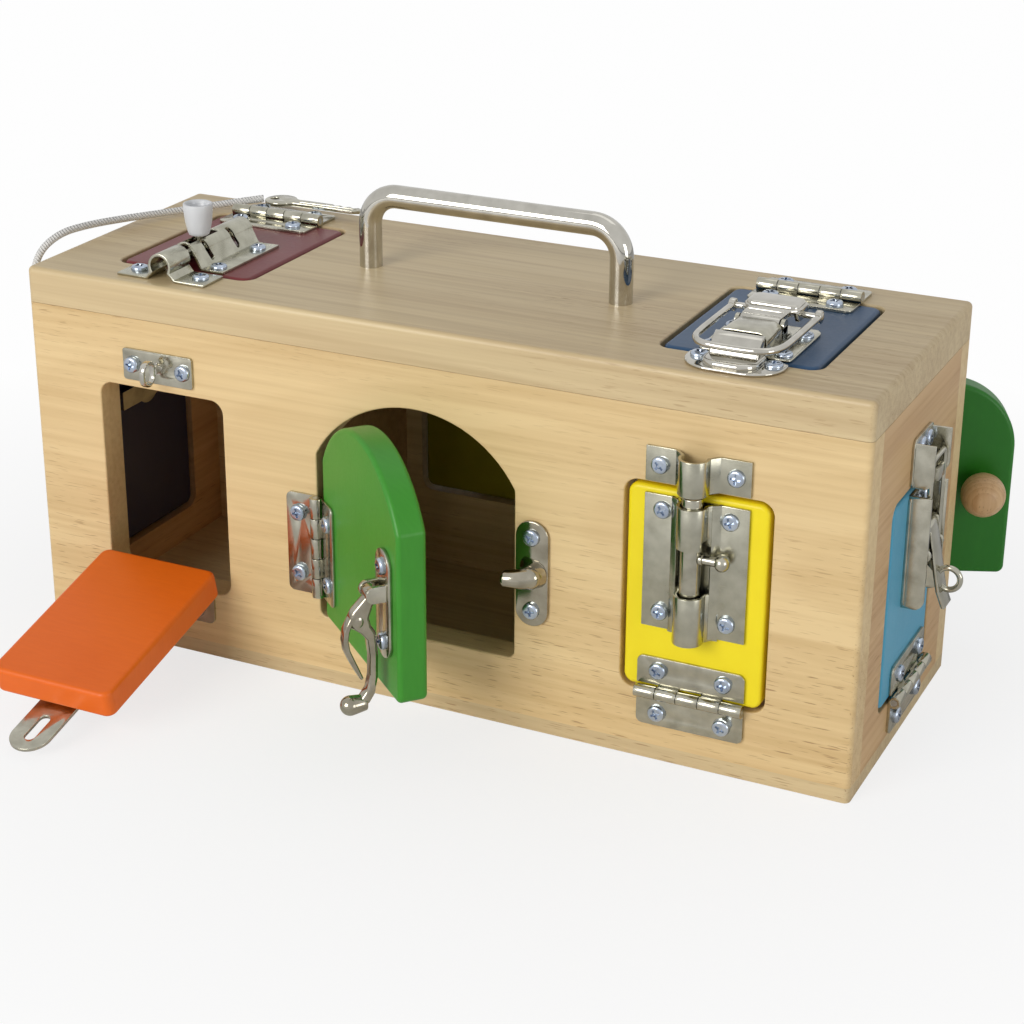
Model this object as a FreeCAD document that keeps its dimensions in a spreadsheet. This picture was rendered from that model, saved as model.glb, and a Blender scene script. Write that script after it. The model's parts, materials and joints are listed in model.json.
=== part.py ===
# Wooden lock box for a small child: a carry box with nine doors, each held by its own latch.
# Millimetres. The origin is the middle of the underside, X runs along the box,
# the front faces -Y and Z points up. The pieces on a face are drawn in that face's
# own frame: x and y lie in the face, z points out of it, and the surface is z = 0.
import FreeCAD, Part
import math
import os
import Sketcher

doc = FreeCAD.newDocument("LockBox")
sheet = doc.addObject("Spreadsheet::Sheet", "Sizes")
names = []
nodes = []


class Size:
    # A length or an angle kept as an expression, so that the pieces follow the sheet.
    def __init__(self, text):
        self.text = str(text)

    def __str__(self):
        return self.text

    def __add__(self, other):
        return Size(f"({self} + {other})")

    def __radd__(self, other):
        return Size(f"({other} + {self})")

    def __sub__(self, other):
        return Size(f"({self} - {other})")

    def __rsub__(self, other):
        return Size(f"({other} - {self})")

    def __mul__(self, other):
        return Size(f"({self} * {other})")

    def __rmul__(self, other):
        return Size(f"({other} * {self})")

    def __truediv__(self, other):
        return Size(f"({self} / {other})")

    def __neg__(self):
        return Size(f"(0 - {self})")


def size(name, number):
    names.append(name)
    row = len(names)
    sheet.set(f"A{row}", name.replace("_", " "))
    sheet.set(f"B{row}", str(number))
    sheet.setAlias(f"B{row}", name)
    sheet.recompute()
    return Size(f"Sizes.{name}")


def root(term):
    return Size(f"sqrt({term})")


def value(term):
    return float(sheet.evalExpression(str(term)))


def point(x, y, z=0):
    return FreeCAD.Vector(value(x), value(y), value(z))


def placing(x, y, z, axis="0; 0; 1", angle=0):
    spot = f"create(<<vector>>; {x}; {y}; {z})"
    turn = f"create(<<rotation>>; create(<<vector>>; {axis}); {angle})"
    return f"create(<<placement>>; {spot}; {turn})"


def add(kind, name, **properties):
    thing = doc.addObject(kind, name)
    for key, setting in properties.items():
        if isinstance(setting, Size):
            thing.setExpression(key, str(setting))
        else:
            setattr(thing, key, setting)
    return thing


def block(name, x, y, z):
    # x, y and z are each a pair: where the block starts and ends.
    thing = add("Part::Box", name)
    thing.setExpression("Length", str(x[1] - x[0]))
    thing.setExpression("Width", str(y[1] - y[0]))
    thing.setExpression("Height", str(z[1] - z[0]))
    thing.setExpression("Placement", placing(x[0], y[0], z[0]))
    return thing


def rod(name, axis, x, y, z, radius, length):
    # A cylinder from x, y, z along the axis X, Y or Z.
    thing = add("Part::Cylinder", name)
    thing.setExpression("Radius", str(radius))
    thing.setExpression("Height", str(length))
    turns = {"X": ("0; 1; 0", 90), "Y": ("1; 0; 0", -90), "Z": ("0; 0; 1", 0)}
    thing.setExpression("Placement", placing(x, y, z, *turns[axis]))
    return thing


def cone(name, x, y, z, low_radius, high_radius, height):
    thing = add("Part::Cone", name)
    thing.setExpression("Radius1", str(low_radius))
    thing.setExpression("Radius2", str(high_radius))
    thing.setExpression("Height", str(height))
    thing.setExpression("Placement", placing(x, y, z))
    return thing


def ball(name, x, y, z, radius):
    thing = add("Part::Sphere", name)
    thing.setExpression("Radius", str(radius))
    thing.setExpression("Placement", placing(x, y, z))
    return thing


def fuse(name, *pieces):
    return add("Part::MultiFuse", name, Shapes=list(pieces))


def cut(name, base, *tools):
    tool = tools[0] if len(tools) == 1 else add("Part::MultiFuse", name + "_tools", Shapes=list(tools))
    return add("Part::Cut", name, Base=base, Tool=tool)


def group(name, *pieces):
    return add("Part::Compound", name, Links=list(pieces))


def moved(name, piece, x, y, z):
    thing = group(name, piece)
    thing.setExpression("Placement", placing(x, y, z))
    return thing


def keep(name, piece, place=None):
    # The finished piece: its label names its file.
    piece.Label = name
    if place:
        piece.setExpression("Placement", place)
    nodes.append(piece)
    return piece


# Outlines for the plates, each a list of corners run anticlockwise. A third
# number on a corner is the radius of an arc that arrives there.
def rounded(x, y, radius):
    (x0, x1), (y0, y1) = x, y
    return [
        (x0 + radius, y0, radius), (x1 - radius, y0),
        (x1, y0 + radius, radius), (x1, y1 - radius),
        (x1 - radius, y1, radius), (x0 + radius, y1),
        (x0, y1 - radius, radius), (x0, y0 + radius),
    ]


def oblong(x, y):
    # Long in x, with a half circle at each end.
    (x0, x1), (y0, y1) = x, y
    radius = (y1 - y0) / 2
    middle = (y0 + y1) / 2
    return [
        (x0 + radius, y0, radius), (x1 - radius, y0),
        (x1, middle, radius), (x1 - radius, y1, radius),
        (x0 + radius, y1), (x0, middle, radius),
    ]


def turned(outline):
    # The same outline a quarter turn on, so that x becomes y.
    return [(-corner[1], corner[0], *corner[2:]) for corner in outline]


def draw(sketch, outline):
    first = sketch.GeometryCount
    ends = []
    for k, corner in enumerate(outline):
        start = point(*outline[k - 1][:2])
        end = point(*corner[:2])
        if len(corner) == 2:
            index = sketch.addGeometry(Part.LineSegment(start, end), False)
            ends.append((index, 1, 2))
            continue
        radius = value(corner[2])
        chord = end - start
        across = FreeCAD.Vector(-chord.y, chord.x, 0).normalize()
        reach = math.sqrt(max(radius ** 2 - (chord.Length / 2) ** 2, 0))
        centre = (start + end) * 0.5 + across * reach
        angles = [math.atan2(p.y - centre.y, p.x - centre.x) for p in (start, end)]
        circle = Part.Circle(centre, FreeCAD.Vector(0, 0, 1), radius)
        index = sketch.addGeometry(Part.ArcOfCircle(circle, *angles), False)
        ends.append((index, 1, 2))
    for k, corner in enumerate(outline):
        index, start, end = ends[k]
        following = ends[(k + 1) % len(outline)]
        sketch.addConstraint(Sketcher.Constraint("Coincident", index, end, following[0], following[1]))
        across = sketch.addConstraint(Sketcher.Constraint("DistanceX", -1, 1, index, end, value(corner[0])))
        along = sketch.addConstraint(Sketcher.Constraint("DistanceY", -1, 1, index, end, value(corner[1])))
        sketch.setExpression(f"Constraints[{across}]", str(corner[0]))
        sketch.setExpression(f"Constraints[{along}]", str(corner[1]))
        if len(corner) == 3:
            bend = sketch.addConstraint(Sketcher.Constraint("Radius", index, value(corner[2])))
            sketch.setExpression(f"Constraints[{bend}]", str(corner[2]))


def draw_hole(sketch, x, y, radius):
    circle = Part.Circle(point(x, y), FreeCAD.Vector(0, 0, 1), value(radius))
    index = sketch.addGeometry(circle, False)
    for kind, term in (("DistanceX", x), ("DistanceY", y)):
        number = sketch.addConstraint(Sketcher.Constraint(kind, -1, 1, index, 3, value(term)))
        sketch.setExpression(f"Constraints[{number}]", str(term))
    number = sketch.addConstraint(Sketcher.Constraint("Radius", index, value(radius)))
    sketch.setExpression(f"Constraints[{number}]", str(radius))


def new_sketch(body, name, role, height=0):
    sketch = body.newObject("Sketcher::SketchObject", name)
    plane = [feature for feature in body.Origin.OriginFeatures if feature.Role == role][0]
    sketch.AttachmentSupport = [(plane, "")]
    sketch.MapMode = "FlatFace"
    sketch.setExpression("AttachmentOffset.Base.z", str(height))
    return sketch


def plate(name, outline, low, high, holes=(), windows=(), edges=()):
    # A flat piece from z = low to z = high. The holes are (x, y, radius), the windows
    # are outlines, and each of edges is a radius and the rims that get it.
    body = doc.addObject("PartDesign::Body", name)
    sketch = new_sketch(body, name + "_outline", "XY_Plane", low)
    for loop in [outline, *windows]:
        draw(sketch, loop)
    for hole in holes:
        draw_hole(sketch, *hole)
    pad = body.newObject("PartDesign::Pad", name + "_pad")
    pad.Profile = sketch
    pad.setExpression("Length", str(high - low))
    if edges:
        sketch.recompute()
        pad.recompute()
    feature = pad
    for number, (radius, chosen) in enumerate(edges):
        rims = [f"Edge{k}" for k, line in enumerate(feature.Shape.Edges, 1) if chosen(line, feature.Shape)]
        fillet = body.newObject("PartDesign::Fillet", f"{name}_rims_{number}")
        fillet.Base = (feature, rims)
        fillet.setExpression("Radius", str(radius))
        fillet.recompute()
        body.Tip = feature = fillet
    return body


# Which rims to round, for plate.
def all_rims(line, shape):
    return line.BoundBox.ZLength < 0.001


def face_rims(line, shape):
    return line.BoundBox.ZLength < 0.001 and line.BoundBox.ZMax > shape.BoundBox.ZMax - 0.001


def outer_rims(line, shape):
    box, whole = line.BoundBox, shape.BoundBox
    inside = (box.XMin > whole.XMin + 4 and box.XMax < whole.XMax - 4
              and box.YMin > whole.YMin + 4 and box.YMax < whole.YMax - 4)
    return face_rims(line, shape) and not inside


def window_rims(line, shape):
    return face_rims(line, shape) and not outer_rims(line, shape)


def end_rims(line, shape):
    box, whole = line.BoundBox, shape.BoundBox
    at_end = box.XMin > whole.XMax - 0.001 or box.XMax < whole.XMin + 0.001
    return face_rims(line, shape) and at_end


# The box
box_length = size("box_length", 350)
box_depth = size("box_depth", 125)
box_height = size("box_height", 155)
side_board = size("side_board", 12.5)
top_board = size("top_board", 14.5)
bottom_board = size("bottom_board", 6)
seam = size("seam", 0.15)
window_edge = size("window_edge", 0.7)
outer_edge = size("outer_edge", 2.4)
middle_bay = size("middle_bay", 130)

# The doors
door_thickness = size("door_thickness", 11.5)
door_gap = size("door_gap", 1.5)
door_corner = size("door_corner", 4)
door_edge = size("door_edge", 1.8)
front_sill = size("front_sill", 29)
front_width = size("front_width", 57)
front_height = size("front_height", 83.5)
orange_x = size("orange_x", -114.3)
yellow_x = size("yellow_x", 112.7)
orange_open = size("orange_open", 104)
arch_hinge_x = size("arch_hinge_x", -43.2)
arch_width = size("arch_width", 84.5)
arch_rise = size("arch_rise", 25)
arch_lintel = size("arch_lintel", 17.5)
arch_shoulder = box_height - top_board - front_sill - arch_rise - arch_lintel
arch_sag = size("arch_sag", 0.7)
arch_open = size("arch_open", 41)
top_width = size("top_width", 62)
top_reach = size("top_reach", 80.5)
top_hinge_y = size("top_hinge_y", 39)
red_x = size("red_x", -116)
blue_x = size("blue_x", 117)
end_sill = size("end_sill", 21)
end_width = size("end_width", 61)
end_height = size("end_height", 84)
end_y = size("end_y", -0.8)
olive_x = size("olive_x", -15.5)
olive_sill = size("olive_sill", 40)
olive_width = size("olive_width", 84)
olive_height = size("olive_height", 74)
back_hinge_x = size("back_hinge_x", 140)
back_sill = size("back_sill", 31)
back_width = size("back_width", 58)
back_crown = size("back_crown", 85)
back_open = size("back_open", 157)

# Screws: a pan head on a plain shank, in a pilot hole with a little room.
head_radius = size("head_radius", 3.3)
head_height = size("head_height", 1.7)
shank_radius = size("shank_radius", 1.5)
screw_length = size("screw_length", 8.5)
pilot_room = size("pilot_room", 0.05)
metal_hole = shank_radius + size("metal_hole_room", 0.25)
screw = fuse(
    "screw",
    cone("screw_head", 0, 0, 0, head_radius, head_radius * 0.7, head_height),
    rod("screw_shank", "Z", 0, 0, -screw_length, shank_radius, screw_length + head_height / 2),
)
pilot = rod("pilot", "Z", 0, 0, -(screw_length + pilot_room * 4), shank_radius + pilot_room,
            screw_length + head_height)


def screws(name, spots, seat):
    # Returns the screws and the pilot holes for them. The heads sit at z = seat.
    made = [moved(f"{name}_screw", screw, x, y, seat) for x, y in spots]
    holes = [moved(f"{name}_pilot", pilot, x, y, seat) for x, y in spots]
    return group(name + "_screws", *made), group(name + "_pilots", *holes)


# Hinges: a leaf on the box, a leaf on the door and a pin, all alike. The knuckles
# stand on the face, so the axis is one knuckle radius above it.
hinge_length = size("hinge_length", 42)
leaf_width = size("leaf_width", 14)
leaf_thickness = size("leaf_thickness", 1.2)
leaf_corner = size("leaf_corner", 2.5)
knuckle_radius = size("knuckle_radius", 2.5)
knuckle_gap = size("knuckle_gap", 0.3)
pin_radius = size("pin_radius", 1.25)
pin_room = size("pin_room", 0.05)
hinge_screw_apart = size("hinge_screw_apart", 25.6)
hinge_screw_out = size("hinge_screw_out", 8.8)
knuckle_count = 5
knuckle_length = (hinge_length - knuckle_gap * (knuckle_count - 1)) / knuckle_count
hinge_screw_spots = [(-hinge_screw_apart / 2, hinge_screw_out), (hinge_screw_apart / 2, hinge_screw_out)]


def hinge_leaf(name, side, knuckles):
    # side is 1 for the door's leaf, which lies at +y, and -1 for the box's leaf.
    near = knuckle_radius + knuckle_gap
    half = hinge_length / 2
    corner = leaf_corner
    if side > 0:
        outline = [(-half, near), (half, near), (half, leaf_width - corner),
                   (half - corner, leaf_width, corner), (-half + corner, leaf_width),
                   (-half, leaf_width - corner, corner)]
    else:
        outline = [(half, -near), (-half, -near), (-half, -leaf_width + corner),
                   (-half + corner, -leaf_width, corner), (half - corner, -leaf_width),
                   (half, -leaf_width + corner, corner)]
    holes = [(x, y * side, metal_hole) for x, y in hinge_screw_spots]
    pieces = [plate(name + "_plate", outline, Size(0), leaf_thickness, holes)]
    for k in knuckles:
        start = -half + (knuckle_length + knuckle_gap) * k
        reach = (Size(0), near + knuckle_gap) if side > 0 else (-near - knuckle_gap, Size(0))
        pieces.append(block(name + "_tab", (start, start + knuckle_length), reach, (Size(0), leaf_thickness)))
        pieces.append(rod(name + "_knuckle", "X", start, 0, knuckle_radius, knuckle_radius, knuckle_length))
    bore = rod(name + "_bore", "X", -half - 1, 0, knuckle_radius, pin_radius + pin_room, hinge_length + 2)
    return cut(name, fuse(name + "_solid", *pieces), bore)


door_leaf = hinge_leaf("door_leaf", 1, [1, 3])
box_leaf = hinge_leaf("box_leaf", -1, [0, 2, 4])
hinge_pin = rod("hinge_pin", "X", -hinge_length / 2, 0, knuckle_radius, pin_radius, hinge_length)
box_leaf_screws, box_leaf_pilots = screws(
    "box_leaf", [(x, -y) for x, y in hinge_screw_spots], leaf_thickness)
door_leaf_screws, door_leaf_pilots = screws("door_leaf", hinge_screw_spots, leaf_thickness)


# The frames of the faces and of the hinge lines. heading turns the face about Z,
# and a door that is hinged at its side is a quarter turn round in its face.
def face(x, y, z, heading, side=False):
    place = placing(x, y, z, "0; 0; 1", heading) + " * " + placing(0, 0, 0, "1; 0; 0", 90)
    return place + " * " + placing(0, 0, 0, "0; 0; 1", -90) if side else place


def swung(place, angle):
    return f"{place} * {placing(0, 0, knuckle_radius, '1; 0; 0', angle)} * {placing(0, 0, -knuckle_radius)}"


half_length = box_length / 2
half_depth = box_depth / 2
hinge_lines = {
    "orange": face(orange_x, -half_depth, front_sill, 0),
    "yellow": face(yellow_x, -half_depth, front_sill, 0),
    "arch": face(arch_hinge_x, -half_depth, front_sill, 0, side=True),
    "red": placing(red_x, top_hinge_y, box_height, "0; 0; 1", 180),
    "blue": placing(blue_x, top_hinge_y, box_height, "0; 0; 1", 180),
    "sky": face(half_length, end_y, end_sill, 90),
    "navy": face(-half_length, end_y, end_sill, -90),
    "olive": face(olive_x, half_depth, olive_sill, 180),
    "back": face(back_hinge_x, half_depth, back_sill, 180, side=True),
}
hinge_shift = {
    "orange": Size(0), "yellow": Size(0), "red": size("red_hinge_shift", 4), "blue": Size(0),
    "arch": -size("arch_hinge_height", 30.7), "back": -size("back_hinge_height", 32),
    "sky": size("sky_hinge_shift", 3), "navy": size("navy_hinge_shift", -3), "olive": Size(0),
}
boards = {
    "orange": "front", "yellow": "front", "arch": "front", "red": "top", "blue": "top",
    "sky": "right", "navy": "left", "olive": "back", "back": "back",
}
pilots = {board: [] for board in ("front", "back", "left", "right", "top")}
fixed_leaves = []
fixed_pins = []
fixed_screws = []


def fix(door, name, spots, seat):
    # Screws that go into the box beside a door, in the door's frame.
    made, holes = screws(name, spots, seat)
    for piece in (made, holes):
        piece.setExpression("Placement", hinge_lines[door])
    fixed_screws.append(made)
    pilots[boards[door]].append(holes)


def in_line(name, piece, door):
    # A second copy of a piece, put on the hinge line of a door.
    place = f"{hinge_lines[door]} * {placing(hinge_shift[door], 0, 0)}"
    copy = group(name, piece)
    copy.setExpression("Placement", place)
    return copy


for door in hinge_lines:
    fixed_leaves.append(in_line(door + "_box_leaf", box_leaf, door))
    fixed_pins.append(in_line(door + "_pin", hinge_pin, door))
    fixed_screws.append(in_line(door + "_box_leaf_screws", box_leaf_screws, door))
    pilots[boards[door]].append(in_line(door + "_box_leaf_pilots", box_leaf_pilots, door))


def hang(door, name, outline, angle, panel_tools=()):
    # The panel with its half of the hinge, swung open by the angle.
    place = swung(hinge_lines[door], angle) if angle is not None else hinge_lines[door]
    panel = plate(name + "_blank", outline, -door_thickness, Size(0), edges=[(door_edge, all_rims)])
    shift = (hinge_shift[door], 0, 0)
    holes = moved(name + "_leaf_pilots", door_leaf_pilots, *shift)
    keep(name, cut(name, panel, holes, *panel_tools), place)
    leaf = moved(name + "_leaf", door_leaf, *shift)
    leaf_screws = moved(name + "_leaf_screws", door_leaf_screws, *shift)
    keep(name + "_hinge_leaf", group(name + "_hinge", leaf, leaf_screws), place)
    return place


def door_outline(width, height):
    # An opening of this width and height, less the gap all round.
    half = width / 2 - door_gap
    return rounded((-half, half), (door_gap / 2, height - door_gap * 1.5), door_corner)


def opening_outline(x, sill, width, height):
    return rounded((x - width / 2, x + width / 2), (sill - door_gap / 2, sill - door_gap / 2 + height),
                   door_corner + door_gap)


def arched(x, low, centre, radius, corner):
    # Straight sides under a wide arc about y = centre, with every corner rounded.
    x0, x1 = x
    middle = (x0 + x1) / 2
    inset = (x1 - x0) / 2 - corner
    inner = radius - corner
    rise = root(inner * inner - inset * inset)
    grown = radius / inner
    return [
        (x0 + corner, low, corner), (x1 - corner, low), (x1, low + corner, corner),
        (x1, centre + rise), (middle + inset * grown, centre + rise * grown, corner),
        (middle - inset * grown, centre + rise * grown, radius), (x0, centre + rise, corner),
        (x0, low + corner),
    ]


def round_topped(x, low, shoulder, corner):
    # Straight sides under a half circle.
    x0, x1 = x
    half = (x1 - x0) / 2
    return [
        (x0 + corner, low, corner), (x1 - corner, low), (x1, low + corner, corner),
        (x1, shoulder), ((x0 + x1) / 2, shoulder + half, half), (x0, shoulder, half),
        (x0, low + corner),
    ]


# Orange door: a slotted strap on the door drops over an oval staple that turns.
strap_width = size("strap_width", 17)
strap_thickness = size("strap_thickness", 1.4)
strap_start = size("strap_start", 44)
strap_rise = strap_thickness + size("strap_seat_room", 0.3)
strap_joggle = size("strap_joggle", 76)
staple_out = size("staple_out", 92.7)
strap_end = staple_out + size("strap_tail", 12.3)
staple_plate_width = size("staple_plate_width", 32)
staple_plate_height = size("staple_plate_height", 13)
staple_length = size("staple_length", 10.8)
staple_wire = size("staple_wire", 2.4)
staple_low = size("staple_low", 3.5)
staple_height = size("staple_height", 12.2)
staple_rim = size("staple_rim", 1.4)
neck_radius = size("neck_radius", 1.9)
slot_side = size("slot_side", 1.1)
slot_room = size("slot_room", 1.5)
half_strap = strap_width / 2
foot = plate(
    "strap_foot",
    [(-half_strap, strap_start), (half_strap, strap_start), (half_strap, strap_joggle + strap_thickness),
     (-half_strap, strap_joggle + strap_thickness)],
    Size(0), strap_thickness,
    holes=[(0, strap_start + 7, metal_hole), (0, strap_start + 23, metal_hole)],
)
step = block("strap_step", (-half_strap, half_strap), (strap_joggle, strap_joggle + strap_thickness),
             (Size(0), strap_rise + strap_thickness))
slot_half = staple_wire / 2 + slot_side
tongue = plate(
    "strap_tongue",
    [(-half_strap, strap_joggle), (half_strap, strap_joggle), (half_strap, strap_end - half_strap),
     (0, strap_end, half_strap), (-half_strap, strap_end - half_strap, half_strap)],
    strap_rise, strap_rise + strap_thickness,
    windows=[turned(oblong((staple_out - staple_length / 2 - slot_room,
                            staple_out + staple_length / 2 + slot_room), (-slot_half, slot_half)))],
)
strap_screws, strap_pilots = screws(
    "strap", [(0, strap_start + 7), (0, strap_start + 23)], strap_thickness)
orange_place = hang("orange", "orange_door", door_outline(front_width, front_height), orange_open,
                    [strap_pilots])
keep("hasp_strap", group("hasp_strap", fuse("strap", foot, step, tongue), strap_screws), orange_place)

staple_plate = plate(
    "staple_plate",
    rounded((-staple_plate_width / 2, staple_plate_width / 2),
            (staple_out - staple_plate_height / 2, staple_out + staple_plate_height / 2), leaf_corner / 2),
    Size(0), leaf_thickness,
    holes=[(-staple_plate_width / 2 + 4.2, staple_out, metal_hole),
           (staple_plate_width / 2 - 4.2, staple_out, metal_hole)],
)
keep("staple_plate", staple_plate, hinge_lines["orange"])
fix("orange", "staple", [(-staple_plate_width / 2 + 4.2, staple_out),
                         (staple_plate_width / 2 - 4.2, staple_out)], leaf_thickness)
# The oval loop stands upright on a round neck, over the strap.
loop_middle = (staple_low + staple_height) / 2


def oval(name, radius, width):
    spread = staple_length / 2 - (staple_height - staple_low) / 2
    bows = [rod(name + "_bow", "X", -width / 2, staple_out + spread * side, loop_middle, radius, width)
            for side in (-1, 1)]
    return fuse(name, *bows, block(name + "_middle", (-width / 2, width / 2),
                                   (staple_out - spread, staple_out + spread),
                                   (loop_middle - radius, loop_middle + radius)))


loop_outer = (staple_height - staple_low) / 2
staple_neck = rod("staple_neck", "Z", 0, staple_out, leaf_thickness, neck_radius,
                  staple_low + staple_rim / 2 - leaf_thickness)
loop_solid = fuse("staple_solid", oval("staple_oval", loop_outer, staple_wire), staple_neck)
loop_hole = oval("staple_hole", loop_outer - staple_rim, staple_wire * 2)
keep("turn_staple", cut("turn_staple", loop_solid, loop_hole), hinge_lines["orange"])

# Green arched door: a hooked lever on an oblong plate, and a cast prong on the box.
arch_radius = (arch_width * arch_width / 4 + arch_rise * arch_rise) / (2 * arch_rise)
arch_centre = arch_shoulder + arch_rise - arch_radius
arch_corner = size("arch_corner", 3)
cast_width = size("cast_width", 13.4)
cast_length = size("cast_length", 43)
cast_thickness = size("cast_thickness", 1.6)
cast_height = size("cast_height", 37.5)
cast_on_door = size("cast_on_door", 70.5)
cast_on_box = size("cast_on_box", 91.6)
cast_screw_apart = size("cast_screw_apart", 30)
lever_pivot = size("lever_pivot", 43)
lever_axis = size("lever_axis", 6)
lever_width = size("lever_width", 4.6)
lever_foot = size("lever_foot", 44.5)
lever_pin = size("lever_pin", 1.5)
ear_gap = size("ear_gap", 0.3)
ear_width = size("ear_width", 1.8)


def cast_plate(name, across):
    low = -cast_height - cast_length / 2
    high = -cast_height + cast_length / 2
    spots = [(-cast_height - cast_screw_apart / 2, across), (-cast_height + cast_screw_apart / 2, across)]
    body = plate(name, oblong((low, high), (across - cast_width / 2, across + cast_width / 2)),
                 Size(0), cast_thickness, holes=[(x, y, metal_hole) for x, y in spots])
    return body, spots


latch_plate, latch_spots = cast_plate("latch_plate", cast_on_door)
ears = []
for side in (-1, 1):
    inner = cast_on_door + side * (lever_width / 2 + ear_gap)
    outer = inner + side * ear_width
    reach = (outer, inner) if side < 0 else (inner, outer)
    ears.append(block("ear", (-lever_pivot - 3.2, -lever_pivot + 3.2), reach, (Size(0), lever_axis)))
    ears.append(rod("ear_top", "Y", -lever_pivot, reach[0], lever_axis, 3.2, ear_width))
pivot = rod("lever_pivot_pin", "Y", -lever_pivot, cast_on_door - lever_width / 2 - ear_gap - ear_width,
            lever_axis, lever_pin, lever_width + (ear_gap + ear_width) * 2)
cast_screws, cast_pilots = screws("arch_latch", latch_spots, cast_thickness)
arch_door_outline = turned(arched((door_gap / 2, arch_width - door_gap * 1.5), door_gap - arch_sag,
                                  arch_centre - arch_sag, arch_radius - door_gap, arch_corner))
arch_place = hang("arch", "green_arch_door", arch_door_outline, arch_open, [cast_pilots])
keep("arch_latch_plate", group("arch_latch_plate", fuse("arch_latch", latch_plate, *ears, pivot),
                               cast_screws), arch_place)
across = (cast_on_door - lever_width / 2, cast_on_door + lever_width / 2)


def side_piece(name, points):
    # A piece as wide as the lever, cut to an outline seen from the side, that is given
    # as the distance down from the pivot and the height over it.
    outline = [(-lever_pivot + down, lever_axis + up) for down, up in points]
    piece = plate(name, outline, -across[1], -across[0])
    piece.setExpression("Placement", placing(0, 0, 0, "1; 0; 0", 90))
    return piece


lever_bar = side_piece("lever_bar", [
    (0, -2.2), (4.5, 0), (9.5, 1.2), (15.5, -1.2), (34, -1.6), (40.5, -0.4), (45.6, 3.6), (46.9, 8),
    (43.1, 9), (42, 5.2), (38.4, 2.6), (33, 1.6), (18.5, 2), (14.5, 5), (11, 8.2), (6.5, 8),
    (1.5, 3), (-1.5, 2)])
claw = side_piece("claw", [
    (10, 6.5), (14, 8.6), (17.5, 9.2), (25, 7.2), (33.4, 3.9), (34.2, 5), (25.5, 8.8), (17.5, 11.3),
    (13, 10.6), (8.5, 8)])
foot_height = lever_axis + size("foot_rise", 9)
foot_radius = size("foot_radius", 3.9)
lever_solid = fuse(
    "lever_solid",
    rod("lever_boss", "Y", -lever_pivot, across[0], lever_axis, lever_pin + 1.3, lever_width),
    lever_bar,
    claw,
    rod("lever_foot", "Z", -lever_pivot + lever_foot, cast_on_door, foot_height - 6, foot_radius - 0.2, Size(6)),
    ball("lever_bulb", -lever_pivot + lever_foot, cast_on_door, foot_height, foot_radius),
)
lever_bore = rod("lever_bore", "Y", -lever_pivot, across[0] - 1, lever_axis, lever_pin + pin_room,
                 lever_width + 2)
keep("arch_latch_lever", cut("arch_latch_lever", lever_solid, lever_bore), arch_place)

keeper_plate, keeper_spots = cast_plate("keeper_plate", cast_on_box)
prong_end = cast_on_box - size("prong_reach", 6.5)
prong = fuse(
    "prong",
    keeper_plate,
    cone("prong_root", -cast_height, cast_on_box, 0, Size(5), Size(3.2), Size(7)),
    rod("prong_arm", "Y", -cast_height, prong_end, 7, Size(2.6), cast_on_box - prong_end),
    ball("prong_tip", -cast_height, prong_end, 7, Size(3.3)),
    ball("prong_back", -cast_height, cast_on_box, 7, Size(3.2)),
)
keep("arch_keeper", prong, hinge_lines["arch"])
fix("arch", "arch_keeper", keeper_spots, cast_thickness)

# Yellow door: a barrel bolt with its knob on a side arm.
bolt_radius = size("bolt_radius", 4.2)
bolt_room = size("bolt_room", 0.3)
bolt_wall = size("bolt_wall", 1.2)
bolt_plate_width = size("bolt_plate_width", 40)
bolt_plate_low = size("bolt_plate_low", 26.5)
bolt_plate_high = size("bolt_plate_high", 79)
guide_low = (size("lower_guide_start", 25.6), size("lower_guide_end", 44.5))
guide_high = size("upper_guide_start", 63.2)
bolt_axis = leaf_thickness + bolt_radius + bolt_room
bolt_tip = front_height - door_gap / 2 - size("bolt_tip_back", 0.2)
keeper_seam = size("keeper_seam", 0.8)
keeper_depth = size("keeper_depth", 13.6)
arm_place = size("arm_place", 59)
arm_reach = size("arm_reach", 12)
bolt_screw_x = size("bolt_screw_x", 12.9)
bolt_throw = size("bolt_throw", 5)


def tunnel(name, y, low, high, inner, wall):
    # An upside-down U of folded steel that stands on z = low, with its round top about z = high.
    outer = inner + wall
    start, end = y
    shell = fuse(
        name + "_shell",
        block(name + "_sides", (-outer, outer), y, (low, high)),
        rod(name + "_crown", "Y", 0, start, high, outer, end - start),
    )
    hollow = fuse(
        name + "_hollow",
        block(name + "_inside", (-inner, inner), (start - 1, end + 1), (low, high)),
        rod(name + "_vault", "Y", 0, start - 1, high, inner, end - start + 2),
    )
    return cut(name, shell, hollow)


bolt_spots = [(side * bolt_screw_x, y) for side in (-1, 1)
              for y in (bolt_plate_low + 6.5, bolt_plate_high - 5.6)]
half_plate = bolt_plate_width / 2
bolt_plate = plate("bolt_plate", rounded((-half_plate, half_plate), (bolt_plate_low, bolt_plate_high),
                                         Size(1)),
                   Size(0), leaf_thickness, holes=[(x, y, metal_hole) for x, y in bolt_spots])
guide_inner = bolt_radius + bolt_room
lower_guide = tunnel("lower_guide", guide_low, leaf_thickness / 2, bolt_axis, guide_inner, bolt_wall)
upper_guide = tunnel("upper_guide", (guide_high, bolt_plate_high), leaf_thickness / 2, bolt_axis,
                     guide_inner, bolt_wall)
stop = block("bolt_stop", (-guide_inner - bolt_wall / 2, guide_inner + bolt_wall / 2),
             (guide_low[0], guide_low[0] + bolt_wall), (leaf_thickness / 2, bolt_axis + guide_inner / 2))
arm_radius = size("arm_radius", 2.3)
arm_notch = block("arm_notch", (Size(0), guide_inner + bolt_wall * 2),
                  (guide_high - 1, arm_place + arm_radius + bolt_throw + bolt_room),
                  (bolt_axis - arm_radius - bolt_room, bolt_axis + arm_radius + bolt_room))
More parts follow.
